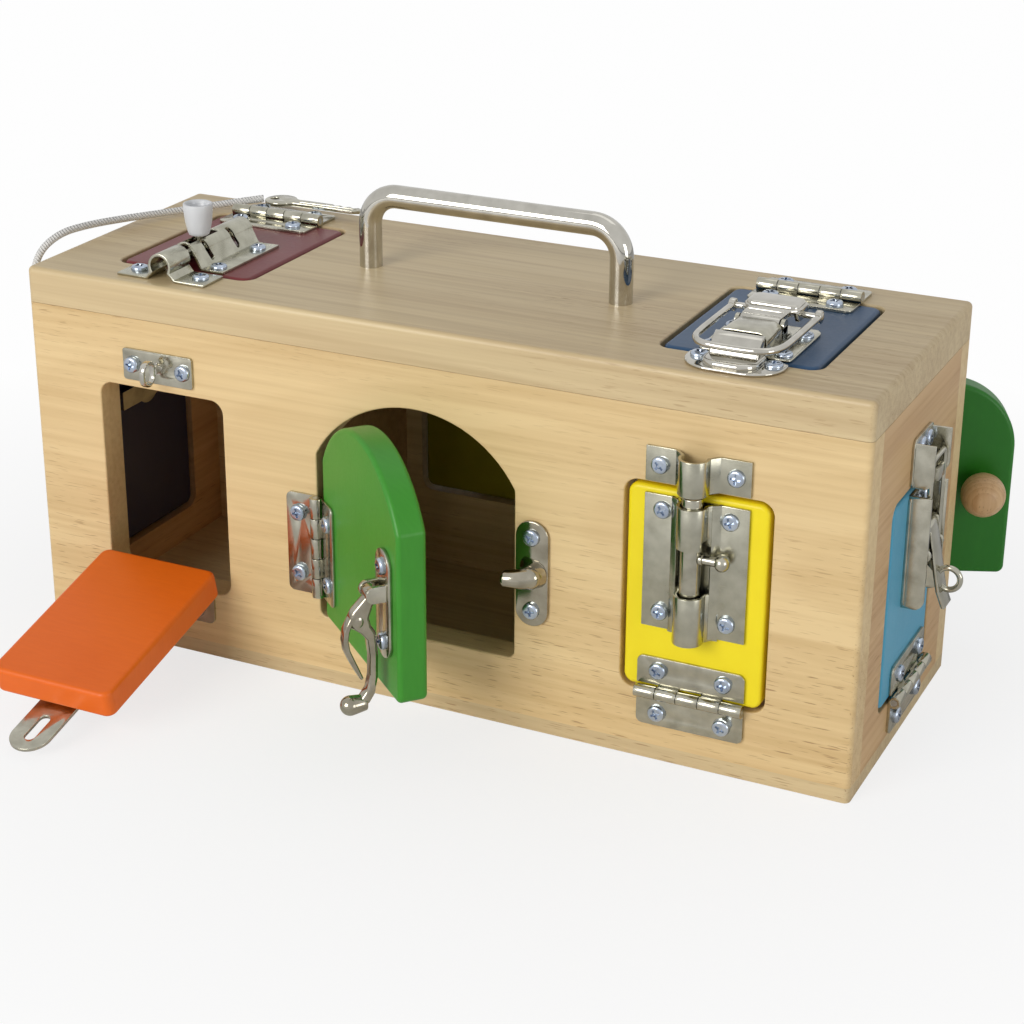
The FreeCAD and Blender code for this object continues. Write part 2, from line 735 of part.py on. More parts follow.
bolt_base = fuse("bolt_base", bolt_plate, lower_guide, cut("notched_guide", upper_guide, arm_notch), stop)
bolt_screws, bolt_pilots = screws("bolt", bolt_spots, leaf_thickness)
yellow_place = hang("yellow", "yellow_door", door_outline(front_width, front_height), None, [bolt_pilots])
keep("yellow_bolt_base", group("yellow_bolt_base", bolt_base, bolt_screws), yellow_place)
bolt_back = size("bolt_back_room", 9.5)
bolt_slack = size("bolt_slack", 0.4)
bolt = fuse(
    "bolt",
    rod("bolt_rod", "Y", 0, guide_low[0] + bolt_wall + bolt_back, bolt_axis, bolt_radius - bolt_slack,
        bolt_tip - guide_low[0] - bolt_wall - bolt_back),
    rod("bolt_arm", "X", 0, arm_place, bolt_axis, arm_radius, arm_reach),
    ball("bolt_ball", arm_reach, arm_place, bolt_axis, Size(3.3)),
)
keep("yellow_bolt_rod", bolt, yellow_place)
keeper_y = (front_height + keeper_seam - door_gap / 2, front_height + keeper_seam - door_gap / 2 + keeper_depth)
keeper_spots = [(side * size(f"keeper_screw_{word}", 14.4), (keeper_y[0] + keeper_y[1]) / 2)
                for side, word in ((-1, "left"), (1, "right"))]
bolt_keeper = fuse(
    "bolt_keeper",
    plate("bolt_keeper_plate", rounded((-half_plate, half_plate), keeper_y, Size(1)), Size(0),
          leaf_thickness, holes=[(x, y, metal_hole) for x, y in keeper_spots]),
    tunnel("bolt_keeper_arch", keeper_y, leaf_thickness / 2, bolt_axis, guide_inner, bolt_wall),
)
keep("yellow_bolt_keeper", bolt_keeper, hinge_lines["yellow"])
fix("yellow", "yellow_keeper", keeper_spots, leaf_thickness)

# Red door: a folded steel bolt with two slanted slots and a white plastic knob on top.
red_bolt_radius = size("red_bolt_radius", 2.7)
red_bolt_axis = size("red_bolt_axis", 5)
red_inner = size("red_inner", 4)
red_wall = size("red_wall", 1.1)
red_crown = size("red_crown", 6)
red_plate_half = size("red_plate_half", 17.5)
red_body = (size("red_body_start", 34.5), size("red_body_end", 77))
red_keeper_depth = size("red_keeper_depth", 14.5)
red_tip = top_reach - door_gap / 2 - size("red_tip_back", 0.3)
knob_place = size("knob_place", 66)
knob_travel = size("knob_travel", 8)
knob_stem = size("knob_stem", 1.8)
knob_foot = red_crown + red_inner + red_wall + size("knob_room", 0.4)
knob_height = size("knob_height", 13)
knob_low_radius = size("knob_low_radius", 4.2)
knob_high_radius = size("knob_high_radius", 6)
red_spots = [(side * 13, y) for side in (-1, 1) for y in (red_body[0] + 9, red_body[1] - 4.2)]
red_channel = tunnel("red_channel", (red_body[0] + 3, red_body[1]), leaf_thickness / 2, red_crown,
                     red_inner, red_wall)
stem_slot = block("stem_slot", (-knob_stem - bolt_room, knob_stem + bolt_room),
                  (knob_place - knob_travel - knob_stem - bolt_room,
                   knob_place + knob_travel + knob_stem + bolt_room),
                  (red_crown, red_crown + red_inner + red_wall * 2))
side_slot = block("side_slot", (-red_inner - red_wall * 2, Size(0)),
                  (knob_place + 1, knob_place + knob_travel + knob_stem + bolt_room),
                  (red_bolt_axis, red_crown + red_inner + red_wall * 2))
slanted = [side_slot]
for k in range(2):
    slit = add("Part::Box", "slanted_slot")
    slit.setExpression("Length", str(red_inner + red_wall * 3))
    slit.setExpression("Width", str(red_wall * 1.6))
    slit.setExpression("Height", str(red_crown))
    slit.setExpression("Placement", placing(-red_inner - red_wall * 3 - 1, red_body[0] + 12 + 19 * k,
                                            leaf_thickness + 3, "1; 0; 0", -22))
    slanted.append(slit)
red_base = fuse(
    "red_base",
    plate("red_bolt_plate", rounded((-red_plate_half, red_plate_half), red_body, Size(1)), Size(0),
          leaf_thickness, holes=[(x, y, metal_hole) for x, y in red_spots]),
    cut("red_channel_cut", red_channel, stem_slot, *slanted),
)
red_screws, red_pilots = screws("red_bolt", red_spots, leaf_thickness)
red_place = hang("red", "red_door", door_outline(top_width, top_reach), None, [red_pilots])
keep("red_bolt_body", group("red_bolt_body", red_base, red_screws), red_place)
red_rod = fuse(
    "red_rod",
    rod("red_rod_bar", "Y", 0, red_body[0] + 3, red_bolt_axis, red_bolt_radius,
        red_tip - red_body[0] - 3),
    rod("red_rod_stem", "Z", 0, knob_place, red_bolt_axis, knob_stem, knob_foot + 5 - red_bolt_axis),
)
keep("red_bolt_rod", red_rod, red_place)
knob = cut(
    "knob",
    cone("knob_cup", 0, knob_place, knob_foot, knob_low_radius, knob_high_radius, knob_height),
    rod("knob_bore", "Z", 0, knob_place, knob_foot - 1, knob_stem + pin_room, Size(6.1)),
    rod("knob_hollow", "Z", 0, knob_place, knob_foot + knob_height - 3.5, knob_high_radius - 1.4, Size(5)),
)
keep("red_bolt_knob", knob, red_place)
red_keeper_y = (top_reach + keeper_seam - door_gap / 2,
                top_reach + keeper_seam - door_gap / 2 + red_keeper_depth)
red_keeper_spots = [(side * 14.2, (red_keeper_y[0] + red_keeper_y[1]) / 2) for side in (-1, 1)]
red_keeper = fuse(
    "red_keeper",
    plate("red_keeper_plate", rounded((-half_plate, half_plate), red_keeper_y, Size(1)), Size(0),
          leaf_thickness, holes=[(x, y, metal_hole) for x, y in red_keeper_spots]),
    tunnel("red_keeper_arch", red_keeper_y, leaf_thickness / 2, red_crown, red_inner, red_wall),
)
keep("red_bolt_keeper", red_keeper, hinge_lines["red"])
fix("red", "red_keeper", red_keeper_spots, leaf_thickness)


# Draw latches, on the blue and the light blue doors: a base with ears, a lever between
# them, a wire loop on the lever's stubs, and a catch on the box that the loop goes round.
stub_radius = size("stub_radius", 1.2)
ear_wide = size("ear_wide", 1.6)


def rail(name, x, y, height, round_end):
    # An upright side of folded steel, rounded at its lower end.
    return [
        block(name, x, (y[0] + round_end, y[1]), (Size(0), height)),
        block(name + "_foot", x, y, (Size(0), height - round_end)),
        rod(name + "_bend", "X", x[0], y[0] + round_end, height - round_end, round_end, x[1] - x[0]),
    ]


def both_sides(shift, near, far):
    return [(shift - far, shift - near), (shift + near, shift + far)]


def latch_base(name, door, panel, outline, shift, half, low, high, spots, pieces):
    base = plate(name + "_base_plate", rounded((shift - half, shift + half), (low, high), Size(3)),
                 Size(0), leaf_thickness, holes=[(x, y, metal_hole) for x, y in spots])
    made, holes = screws(name, spots, leaf_thickness)
    place = hang(door, panel, outline, None, [holes])
    keep(name + "_base", group(name + "_base", fuse(name + "_base_solid", base, *pieces), made), place)
    return place


def ears_and_pin(name, shift, lever_half, pivot_y, axis):
    ear_radius = pin_radius + 1.4
    inner = lever_half + ear_gap
    pieces = [rod(name + "_pin", "X", shift - inner - ear_wide, pivot_y, axis, pin_radius,
                  (inner + ear_wide) * 2)]
    for x in both_sides(shift, inner, inner + ear_wide):
        pieces.append(block(name + "_ear", x, (pivot_y - ear_radius, pivot_y + ear_radius), (Size(0), axis)))
        pieces.append(rod(name + "_ear_top", "X", x[0], pivot_y, axis, ear_radius, ear_wide))
    return pieces


def latch_loop(name, place, shift, stub_y, stub_axis, half, end, width, bend):
    # The loop lies flat, at the height of the stubs.
    inner = half - width
    turn = bend - width
    loop = plate(
        name + "_loop_wire",
        [(shift - half, stub_y - width), (shift - inner, stub_y - width),
         (shift - inner, end - width - turn),
         (shift - inner + turn * 0.3, end - width - turn * 0.3),
         (shift - inner + turn, end - width), (shift + inner - turn, end - width),
         (shift + inner - turn * 0.3, end - width - turn * 0.3),
         (shift + inner, end - width - turn),
         (shift + inner, stub_y - width), (shift + half, stub_y - width),
         (shift + half, end - bend), (shift + half - bend, end, bend),
         (shift - half + bend, end), (shift - half, end - bend, bend)],
        stub_axis - width / 2, stub_axis + width / 2,
    )
    eyes = [rod(name + "_eye", "X", x[0], stub_y, stub_axis, stub_radius + 1.3, width)
            for x in both_sides(shift, inner, half)]
    bore = rod(name + "_eye_bore", "X", shift - half - 1, stub_y, stub_axis, stub_radius + pin_room,
               half * 2 + 2)
    keep(name + "_loop", cut(name + "_loop", fuse(name + "_loop_solid", loop, *eyes), bore), place)


def latch_catch(name, door, shift, half, y, corner, spots, pieces):
    x0, x1 = shift - half, shift + half
    outline = [(x0 + 2, y[0], Size(2)), (x1 - 2, y[0]), (x1, y[0] + 2, Size(2)), (x1, y[1] - corner),
               (x1 - corner, y[1], corner), (x0 + corner, y[1]), (x0, y[1] - corner, corner),
               (x0, y[0] + 2)]
    base = plate(name + "_catch_plate", outline, Size(0), leaf_thickness,
                 holes=[(*spot, metal_hole) for spot in spots])
    keep(name + "_catch", fuse(name + "_catch", base, *pieces), hinge_lines[door])
    fix(door, name + "_catch", spots, leaf_thickness)


# Blue door: a case latch. A housing stands on the base in front of the lever's barrel,
# and the catch is a rounded nose inside the loop.
toggle_shift = size("toggle_shift", -1.5)
toggle_half = size("toggle_half", 17.5)
toggle_low = size("toggle_low", 40)
toggle_end = top_reach - door_gap / 2
toggle_lever_half = size("toggle_lever_half", 9.5)
toggle_pivot = size("toggle_pivot", 60)
toggle_axis = size("toggle_axis", 7.5)
toggle_stub = size("toggle_stub", 44)
toggle_tip = size("toggle_tip", 37.5)
toggle_barrel = size("toggle_barrel", 3)
toggle_loop_half = size("toggle_loop_half", 18)
toggle_wire = size("toggle_wire", 2.6)
housing_height = toggle_axis + toggle_barrel
sheet_steel = size("sheet_steel", 1.2)
housing_back = toggle_pivot + toggle_barrel + ear_gap
housing_front = toggle_end - size("housing_back_room", 0.4)
housing = [
    block("housing_top", (toggle_shift - toggle_lever_half, toggle_shift + toggle_lever_half),
          (housing_back, housing_front), (housing_height - sheet_steel, housing_height)),
    *[block("housing_side", x, (housing_back, housing_front), (Size(0), housing_height))
      for x in both_sides(toggle_shift, toggle_lever_half - sheet_steel, toggle_lever_half)],
]
toggle_spots = [(toggle_shift + side * (toggle_half - 3.9), y) for side in (-1, 1)
                for y in (toggle_low + 10, toggle_end - 6.6)]
toggle_place = latch_base(
    "toggle_latch", "blue", "blue_door", door_outline(top_width, top_reach), toggle_shift, toggle_half,
    toggle_low, toggle_end - 2.4, toggle_spots,
    [*housing, *ears_and_pin("toggle", toggle_shift, toggle_lever_half - 1.9, toggle_pivot, toggle_axis)])
half = toggle_lever_half - 1.9
wide = toggle_lever_half
toggle_lever = cut(
    "toggle_lever",
    fuse(
        "toggle_lever_solid",
        rod("toggle_barrel", "X", toggle_shift - half, toggle_pivot, toggle_axis, toggle_barrel, half * 2),
        block("toggle_cover", (toggle_shift - half, toggle_shift + half), (toggle_tip + 10, toggle_pivot),
              (housing_height - 1.6, housing_height)),
        block("toggle_grip", (toggle_shift - wide - 1.5, toggle_shift + wide + 1.5),
              (toggle_tip, toggle_tip + 13), (housing_height - 1.4, housing_height + 1.6)),
        *[block("toggle_cheek", x, (toggle_stub - 3.5, toggle_stub + 3.5), (toggle_axis - 2, housing_height))
          for x in both_sides(toggle_shift, half - 1.6, wide + 1.5)],
        rod("toggle_stubs", "X", toggle_shift - toggle_loop_half, toggle_stub, toggle_axis, stub_radius,
            toggle_loop_half * 2),
    ),
    rod("toggle_bore", "X", toggle_shift - half - 1, toggle_pivot, toggle_axis, pin_radius + pin_room,
        half * 2 + 2),
)
keep("toggle_latch_lever", toggle_lever, toggle_place)
latch_loop("toggle_latch", toggle_place, toggle_shift, toggle_stub, toggle_axis, toggle_loop_half,
           toggle_end + 12.5, toggle_wire, size("toggle_bend", 13))
nose = [
    block("nose", (toggle_shift - wide, toggle_shift + wide), (toggle_end + 1.8, toggle_end + 5),
          (Size(0), housing_height)),
    block("nose_front", (toggle_shift - wide + 3, toggle_shift + wide - 3), (toggle_end + 4, toggle_end + 7.5),
          (Size(0), housing_height - 3)),
    rod("nose_bow", "X", toggle_shift - wide + 3, toggle_end + 4.5, housing_height - 3, Size(3),
        (wide - 3) * 2),
]
latch_catch("toggle_latch", "blue", toggle_shift, size("toggle_catch_half", 18.5),
            (toggle_end + 0.8, toggle_end + 17.5), size("toggle_catch_corner", 12),
            [(toggle_shift - 14.3, toggle_end + 5.8), (toggle_shift + 13.5, toggle_end + 5.8)], nose)

# Light blue door: a draw latch between upright side rails, with a ring for a padlock.
draw_shift = size("draw_shift", 0.8)
draw_half = size("draw_half", 12)
draw_low = size("draw_low", 36)
end_top = end_height - door_gap / 2
draw_lever_half = size("draw_lever_half", 4.8)
draw_pivot = size("draw_pivot", 66)
draw_axis = size("draw_axis", 5)
draw_stub = size("draw_stub", 57)
draw_tip = size("draw_tip", 34)
draw_tilt = size("draw_tilt", 12)
draw_loop_half = size("draw_loop_half", 9.4)
draw_wire = size("draw_wire", 2)
rail_height = size("rail_height", 8.5)
rail_inner = size("rail_inner", 10)
rail_bend = size("rail_bend", 4)
rails = []
for x in both_sides(draw_shift, rail_inner, rail_inner + sheet_steel):
    rails += rail("draw_rail", x, (draw_low, end_top - 2.4), rail_height, rail_bend)
draw_spots = [(draw_shift + side * 6, y) for side in (-1, 1) for y in (draw_low + 4.5, end_top - 6.6)]
draw_place = latch_base(
    "draw_latch", "sky", "sky_door", door_outline(end_width, end_height), draw_shift, draw_half,
    draw_low, end_top - 2.4, draw_spots,
    [*rails, *ears_and_pin("draw", draw_shift, draw_lever_half, draw_pivot, draw_axis)])
# The lever is drawn shut and then tilted out to where it rests.
tilt_place = f"{placing(0, draw_pivot, draw_axis, '1; 0; 0', -draw_tilt)} * {placing(0, -draw_pivot, -draw_axis)}"
ring_y = draw_tip + size("ring_up", 10.5)
ring_z = draw_axis + size("ring_out", 5)
ring_half = size("ring_half", 0.8)
draw_lever = cut(
    "draw_lever",
    fuse(
        "draw_lever_solid",
        block("draw_cover", (draw_shift - draw_lever_half, draw_shift + draw_lever_half),
              (draw_tip, draw_pivot), (draw_axis + 0.9, draw_axis + 2.3)),
        *[block("draw_cheek", x, (draw_stub - 3, draw_pivot), (draw_axis - 1.6, draw_axis + 2))
          for x in both_sides(draw_shift, draw_lever_half - sheet_steel, draw_lever_half)],
        rod("draw_barrel", "X", draw_shift - draw_lever_half, draw_pivot, draw_axis, pin_radius + 1.2,
            draw_lever_half * 2),
        rod("draw_stubs", "X", draw_shift - draw_loop_half, draw_stub, draw_axis, stub_radius,
            draw_loop_half * 2),
        rod("draw_ring", "X", draw_shift - ring_half, ring_y, ring_z, Size(5.8), ring_half * 2),
    ),
    rod("draw_bore", "X", draw_shift - draw_lever_half - 1, draw_pivot, draw_axis, pin_radius + pin_room,
        draw_lever_half * 2 + 2),
    rod("ring_bore", "X", draw_shift - ring_half - 1, ring_y, ring_z + 0.2, Size(3.1), ring_half * 2 + 2),
)
keep("draw_latch_lever", draw_lever, f"{draw_place} * {tilt_place}")
level = f"{draw_place} * {tilt_place} * {placing(0, draw_stub, draw_axis, '1; 0; 0', draw_tilt)}"
latch_loop("draw_latch", f"{level} * {placing(0, -draw_stub, -draw_axis)}", draw_shift, draw_stub,
           draw_axis, draw_loop_half, end_top + 12, draw_wire, size("draw_bend", 5))
catch_rails = []
for x in both_sides(draw_shift, rail_inner, rail_inner + sheet_steel):
    catch_rails += rail("catch_rail", x, (end_top + 0.8, end_top + 18), rail_height, rail_bend)
hook = block("draw_hook", (draw_shift - 4, draw_shift + 4), (end_top + 2.3, end_top + 7),
             (Size(0), rail_height))
latch_catch("draw_latch", "sky", draw_shift, size("draw_catch_half", 12), (end_top + 0.8, end_top + 19.5),
            Size(3), [(draw_shift - 4.2, end_top + 15.3), (draw_shift + 4.2, end_top + 15.3)],
            [hook, *catch_rails])

# Dark blue door on the left end: a cam lock for the key on the cord.
lock_radius = size("lock_radius", 8)
lock_rim = size("lock_rim", 2)
lock_place = size("lock_place", 66)
cam_width = size("cam_width", 8)
cam_reach = size("cam_reach", 23)
cam_thickness = size("cam_thickness", 1.6)
cam_top = -side_board - size("cam_room", 0.7)
lock_hole = rod("lock_hole", "Z", 0, lock_place, -door_thickness - 1, lock_radius + pin_room,
                door_thickness + 2)
navy_place = hang("navy", "navy_door", door_outline(end_width, end_height), None, [lock_hole])
barrel = cut(
    "barrel",
    fuse("barrel_solid",
         rod("barrel_body", "Z", 0, lock_place, -door_thickness, lock_radius, door_thickness),
         rod("barrel_rim", "Z", 0, lock_place, 0, lock_radius + lock_rim, lock_rim)),
    rod("plug_hole", "Z", 0, lock_place, -door_thickness - 1, lock_radius / 2 + pin_room,
        door_thickness + lock_rim + 2),
)
keep("lock_barrel", barrel, navy_place)
plug = cut(
    "plug",
    fuse("plug_solid",
         rod("plug_body", "Z", 0, lock_place, cam_top - cam_thickness, lock_radius / 2,
             lock_rim + cam_thickness - cam_top),
         block("cam", (Size(0), cam_reach), (lock_place - cam_width / 2, lock_place + cam_width / 2),
               (cam_top - cam_thickness, cam_top))),
    block("keyway", (-lock_radius * 0.3, lock_radius * 0.3), (lock_place - 0.7, lock_place + 0.7),
          (lock_rim - 6, lock_rim + 1)),
)
keep("lock_cam", plug, navy_place)

# Olive door at the back: a wooden turn button on the box above it.
olive_place = hang("olive", "olive_door", door_outline(olive_width, olive_height), None)
button_length = size("button_length", 27)
button_width = size("button_width", 9)
button_thickness = size("button_thickness", 5)
button_place = olive_height + size("button_out", 6.5)
button_lift = size("button_lift", 0.4)
button = plate("button", oblong((-button_length / 2, button_length / 2),
                                (button_place - button_width / 2, button_place + button_width / 2)),
               button_lift, button_lift + button_thickness, holes=[(0, button_place, metal_hole)],
               edges=[(Size(1), outer_rims)])
keep("turn_button", button, hinge_lines["olive"])
button_screw, button_pilot = screws("turn_button", [(0, button_place)], Size(0))
fix("olive", "button", [(Size(0), button_place)], button_lift + button_thickness + pin_room)

# Green door at the back, folded right round: a plain wooden ball to pull it by.
ball_radius = size("ball_radius", 9)
ball_across = size("ball_across", 43)
ball_height = size("ball_height", 40)
back_shoulder = back_crown - back_width / 2
back_outline = turned(round_topped((door_gap / 2, back_width - door_gap * 1.5), door_gap, back_shoulder,
                                   arch_corner))
back_place = hang("back", "back_green_door", back_outline, back_open)
ball_knob = fuse(
    "ball_knob",
    rod("ball_neck", "Z", -ball_height, ball_across, 0, ball_radius * 0.55, ball_radius / 2),
    ball("ball_head", -ball_height, ball_across, ball_radius * 1.05, ball_radius),
)
keep("ball_knob", ball_knob, back_place)

# The box's own boards. The front and back run the whole length, the ends and the
# two dividers stand between them, and the top and bottom cover all of them.
wall_low = bottom_board
wall_high = box_height - top_board - seam
front_windows = [
    opening_outline(orange_x, front_sill, front_width, front_height),
    opening_outline(yellow_x, front_sill, front_width, front_height),
    arched((arch_hinge_x - door_gap / 2, arch_hinge_x - door_gap / 2 + arch_width), front_sill,
           front_sill + arch_centre, arch_radius, arch_corner),
]
# Seen from behind, +x of the back board runs towards -X of the box.
back_left = -back_hinge_x - door_gap / 2
back_windows = [
    opening_outline(-olive_x, olive_sill, olive_width, olive_height),
    round_topped((back_left, back_left + back_width), back_sill, back_sill + back_shoulder, arch_corner),
]
top_windows = [
    rounded((x - top_width / 2, x + top_width / 2),
            (top_hinge_y + door_gap / 2 - top_reach, top_hinge_y + door_gap / 2), door_corner + door_gap)
    for x in (red_x, blue_x)
]


def board(name, outline, windows, thickness, place, holes, edges):
    blank = plate(name + "_blank", outline, -thickness, Size(0), windows=windows, edges=edges)
    blank.setExpression("Placement", place)
    return keep(name, cut(name, blank, *holes) if holes else blank)


def wall(half, windows, name, place, holes, edges):
    outline = [(-half, wall_low), (half, wall_low), (half, wall_high), (-half, wall_high)]
    return board(name, outline, windows, side_board, place, holes, edges)


long_edges = [(window_edge, window_rims), (outer_edge, end_rims)]
wall(half_length, front_windows, "front_board", face(0, -half_depth, 0, 0), pilots["front"], long_edges)
wall(half_length, back_windows, "back_board", face(0, half_depth, 0, 180), pilots["back"], long_edges)
between = half_depth - side_board
cord_hole_y = size("cord_hole_y", -41)
cord_hole_z = size("cord_hole_z", 117)
cord_radius = size("cord_radius", 1.5)
cord_hole = rod("cord_hole", "X", -half_length - 1, cord_hole_y, cord_hole_z, cord_radius + 0.3, side_board + 2)
wall(between, [opening_outline(end_y, end_sill, end_width, end_height)], "right_end_board",
     face(half_length, 0, 0, 90), pilots["right"], [(window_edge, window_rims)])
wall(between, [opening_outline(-end_y, end_sill, end_width, end_height)], "left_end_board",
     face(-half_length, 0, 0, -90), [*pilots["left"], cord_hole], [(window_edge, window_rims)])

handle_x = size("handle_x", 1)
handle_span = size("handle_span", 108)
handle_rise = size("handle_rise", 29.5)
handle_radius = size("handle_radius", 4.6)
handle_bend = size("handle_bend", 12)
handle_screw = size("handle_screw", 2)
handle_holes = [rod("handle_hole", "Z", handle_x + side * handle_span / 2, 0, -top_board - 1,
                    handle_screw + 0.3, top_board + 2) for side in (-1, 1)]
for hole in handle_holes:
    hole.setExpression("Placement", placing(handle_x + (handle_holes.index(hole) * 2 - 1) * handle_span / 2,
                                            0, box_height - top_board - 1))
lid_outline = rounded((-half_length, half_length), (-half_depth, half_depth), outer_edge)
board("top_board", lid_outline, top_windows, top_board, placing(0, 0, box_height),
      [*pilots["top"], *handle_holes], [(window_edge, window_rims), (outer_edge - 0.3, outer_rims)])
board("bottom_board", lid_outline, [], bottom_board, placing(0, 0, bottom_board), [], [])
for word, side in (("left", -1), ("right", 1)):
    inner = side * middle_bay / 2
    x = (inner - side_board, inner) if side < 0 else (inner, inner + side_board)
    keep(word + "_divider", block(word + "_divider", x, (-between, between), (wall_low, wall_high)))

keep("frame_hinge_leaves", group("frame_hinge_leaves", *fixed_leaves))
keep("hinge_pins", group("hinge_pins", *fixed_pins))
keep("frame_screws", group("frame_screws", *fixed_screws))

# Carry handle: one bent steel rod, held by a screw up into each leg.
handle = doc.addObject("PartDesign::Body", "handle_rod")
ring = new_sketch(handle, "handle_section", "XY_Plane")
left_leg = handle_x - handle_span / 2
right_leg = handle_x + handle_span / 2
draw_hole(ring, left_leg, Size(0), handle_radius)
spine = new_sketch(handle, "handle_line", "XZ_Plane")
path = [(left_leg, Size(0)), (left_leg, handle_rise - handle_bend),
        (left_leg + handle_bend, handle_rise, handle_bend), (right_leg - handle_bend, handle_rise),
        (right_leg, handle_rise - handle_bend, handle_bend), (right_leg, Size(0))]


def draw_path(sketch, path):
    # An open run of lines and of arcs that turn clockwise.
    last = None
    for k in range(1, len(path)):
        start, end = point(*path[k - 1][:2]), point(*path[k][:2])
        if len(path[k]) == 2:
            index = sketch.addGeometry(Part.LineSegment(start, end), False)
            first_end, last_end = 1, 2
        else:
            radius = value(path[k][2])
            chord = end - start
            across = FreeCAD.Vector(chord.y, -chord.x, 0).normalize()
            centre = (start + end) * 0.5 + across * math.sqrt(radius ** 2 - (chord.Length / 2) ** 2)
            angles = [math.atan2(p.y - centre.y, p.x - centre.x) for p in (end, start)]
            circle = Part.Circle(centre, FreeCAD.Vector(0, 0, 1), radius)
            index = sketch.addGeometry(Part.ArcOfCircle(circle, *angles), False)
            first_end, last_end = 2, 1
            bend = sketch.addConstraint(Sketcher.Constraint("Radius", index, radius))
            sketch.setExpression(f"Constraints[{bend}]", str(path[k][2]))
        if last:
            sketch.addConstraint(Sketcher.Constraint("Coincident", *last, index, first_end))
        spots = [(index, last_end, path[k])] + ([(index, first_end, path[0])] if k == 1 else [])
        for piece, end_number, corner in spots:
            for kind, term in (("DistanceX", corner[0]), ("DistanceY", corner[1])):
                number = sketch.addConstraint(
                    Sketcher.Constraint(kind, -1, 1, piece, end_number, value(term)))
                sketch.setExpression(f"Constraints[{number}]", str(term))
        last = (index, last_end)


draw_path(spine, path)
pipe = handle.newObject("PartDesign::AdditivePipe", "handle_pipe")
pipe.Profile = ring
pipe.Spine = (spine, [])
leg_bores = [rod("leg_bore", "Z", x, 0, -1, handle_screw + pin_room, Size(13)) for x in (left_leg, right_leg)]
keep("carry_handle", cut("carry_handle", handle, *leg_bores), placing(0, 0, box_height))
handle_screw_pieces = []
for x in (left_leg, right_leg):
    handle_screw_pieces.append(rod("handle_shank", "Z", x, 0, -top_board - 0.5, handle_screw,
                                   top_board + 11))
    handle_screw_pieces.append(cone("handle_head", x, 0, -top_board - handle_screw, handle_screw * 1.2,
                                    handle_screw * 2, handle_screw))
left_screw = fuse("left_handle_screw", *handle_screw_pieces[:2])
right_screw = fuse("right_handle_screw", *handle_screw_pieces[2:])
keep("handle_screws", group("handle_screws", left_screw, right_screw), placing(0, 0, box_height))

# The key, lying on the screws of the red door's hinge, and the cord it is tied to.
key_thickness = size("key_thickness", 1.6)
key_bow = size("key_bow", 7)
key_length = size("key_length", 47)
key_blade = size("key_blade", 3)
key_x = size("key_x", -127)
key_y = size("key_y", 54)
key_lift = leaf_thickness + head_height + size("key_room", 0.3)
key_outline = [
    (Size(0), -key_bow, key_bow), (key_bow * 0.9, -key_blade, key_bow * 1.3),
    (key_length - key_bow - 6, -key_blade), (key_length - key_bow, Size(0)),
    (key_length - key_bow - 3, key_blade), (key_bow * 0.9, key_blade),
    (Size(0), key_bow, key_bow * 1.3), (-key_bow, Size(0), key_bow),
]
key = plate("key", key_outline, key_lift, key_lift + key_thickness,
            holes=[(-key_bow * 0.45, Size(0), Size(1.9))])
keep("key", key, placing(key_x, key_y, box_height))

# The cord's way, chosen by hand: out of its hole in the left end, up over the edge of
# the top and along the top to the key's bow.
cord_points = [
    (-172.0, -41.0, 117.0), (-183.0, -41.0, 117.0), (-190.5, -41.5, 125.5), (-191.5, -42.5, 139.0),
    (-188.0, -41.0, 152.5), (-182.5, -32.0, 160.5), (-178.0, -17.0, 161.0), (-171.5, 4.0, 158.5),
    (-162.0, 25.0, 157.3), (-149.0, 43.0, 157.8), (-135.2, 53.0, 159.4),
]


def cord_path(points):
    # Straight runs joined by arcs, each as large as its two runs allow.
    spots = [FreeCAD.Vector(*spot) for spot in points]
    edges = []
    start = spots[0]
    for k in range(1, len(spots) - 1):
        before = (spots[k] - spots[k - 1]).normalize()
        after = (spots[k + 1] - spots[k]).normalize()
        shorter = min((spots[k] - spots[k - 1]).Length, (spots[k + 1] - spots[k]).Length)
        turn = before.getAngle(after)
        cut_back = 0.45 * shorter
        radius = cut_back / math.tan(turn / 2)
        print(f"cord turn {k}: {math.degrees(turn):.0f} degrees, radius {radius:.1f} mm")
        enter = spots[k] - before * cut_back
        leave = spots[k] + after * cut_back
        inward = (after - before).normalize()
        middle = spots[k] + inward * (radius / math.cos(turn / 2) - radius)
        edges.append(Part.LineSegment(start, enter).toShape())
        edges.append(Part.Arc(enter, middle, leave).toShape())
        start = leave
    edges.append(Part.LineSegment(start, spots[-1]).toShape())
    return Part.Wire(edges)


doc.recompute()
route = cord_path(cord_points)
section = Part.Wire(Part.makeCircle(value(cord_radius), FreeCAD.Vector(*cord_points[0]),
                                    FreeCAD.Vector(*cord_points[1]) - FreeCAD.Vector(*cord_points[0])))
tube = route.makePipeShell([section], True, True)
print(f"cord length {route.Length:.1f} mm, volume {tube.Volume:.1f}, "
      f"section times length {math.pi * value(cord_radius) ** 2 * route.Length:.1f}")
cord = doc.addObject("Part::Feature", "key_cord")
cord.Shape = tube
keep("key_cord", cord)

doc.recompute()
broken = [thing.Label for thing in doc.Objects if "Invalid" in thing.State or "Error" in thing.State]
for thing in nodes:
    if thing.Shape.isNull() or not thing.Shape.isValid() or not thing.Shape.Solids:
        broken.append(thing.Label + " (shape)")
if broken:
    raise SystemExit("failed: " + ", ".join(broken))

os.makedirs("parts", exist_ok=True)
for thing in nodes:
    thing.Shape.exportStep(f"parts/{thing.Label}.step")
print(f"{len(nodes)} nodes, {sum(len(thing.Shape.Solids) for thing in nodes)} solids")
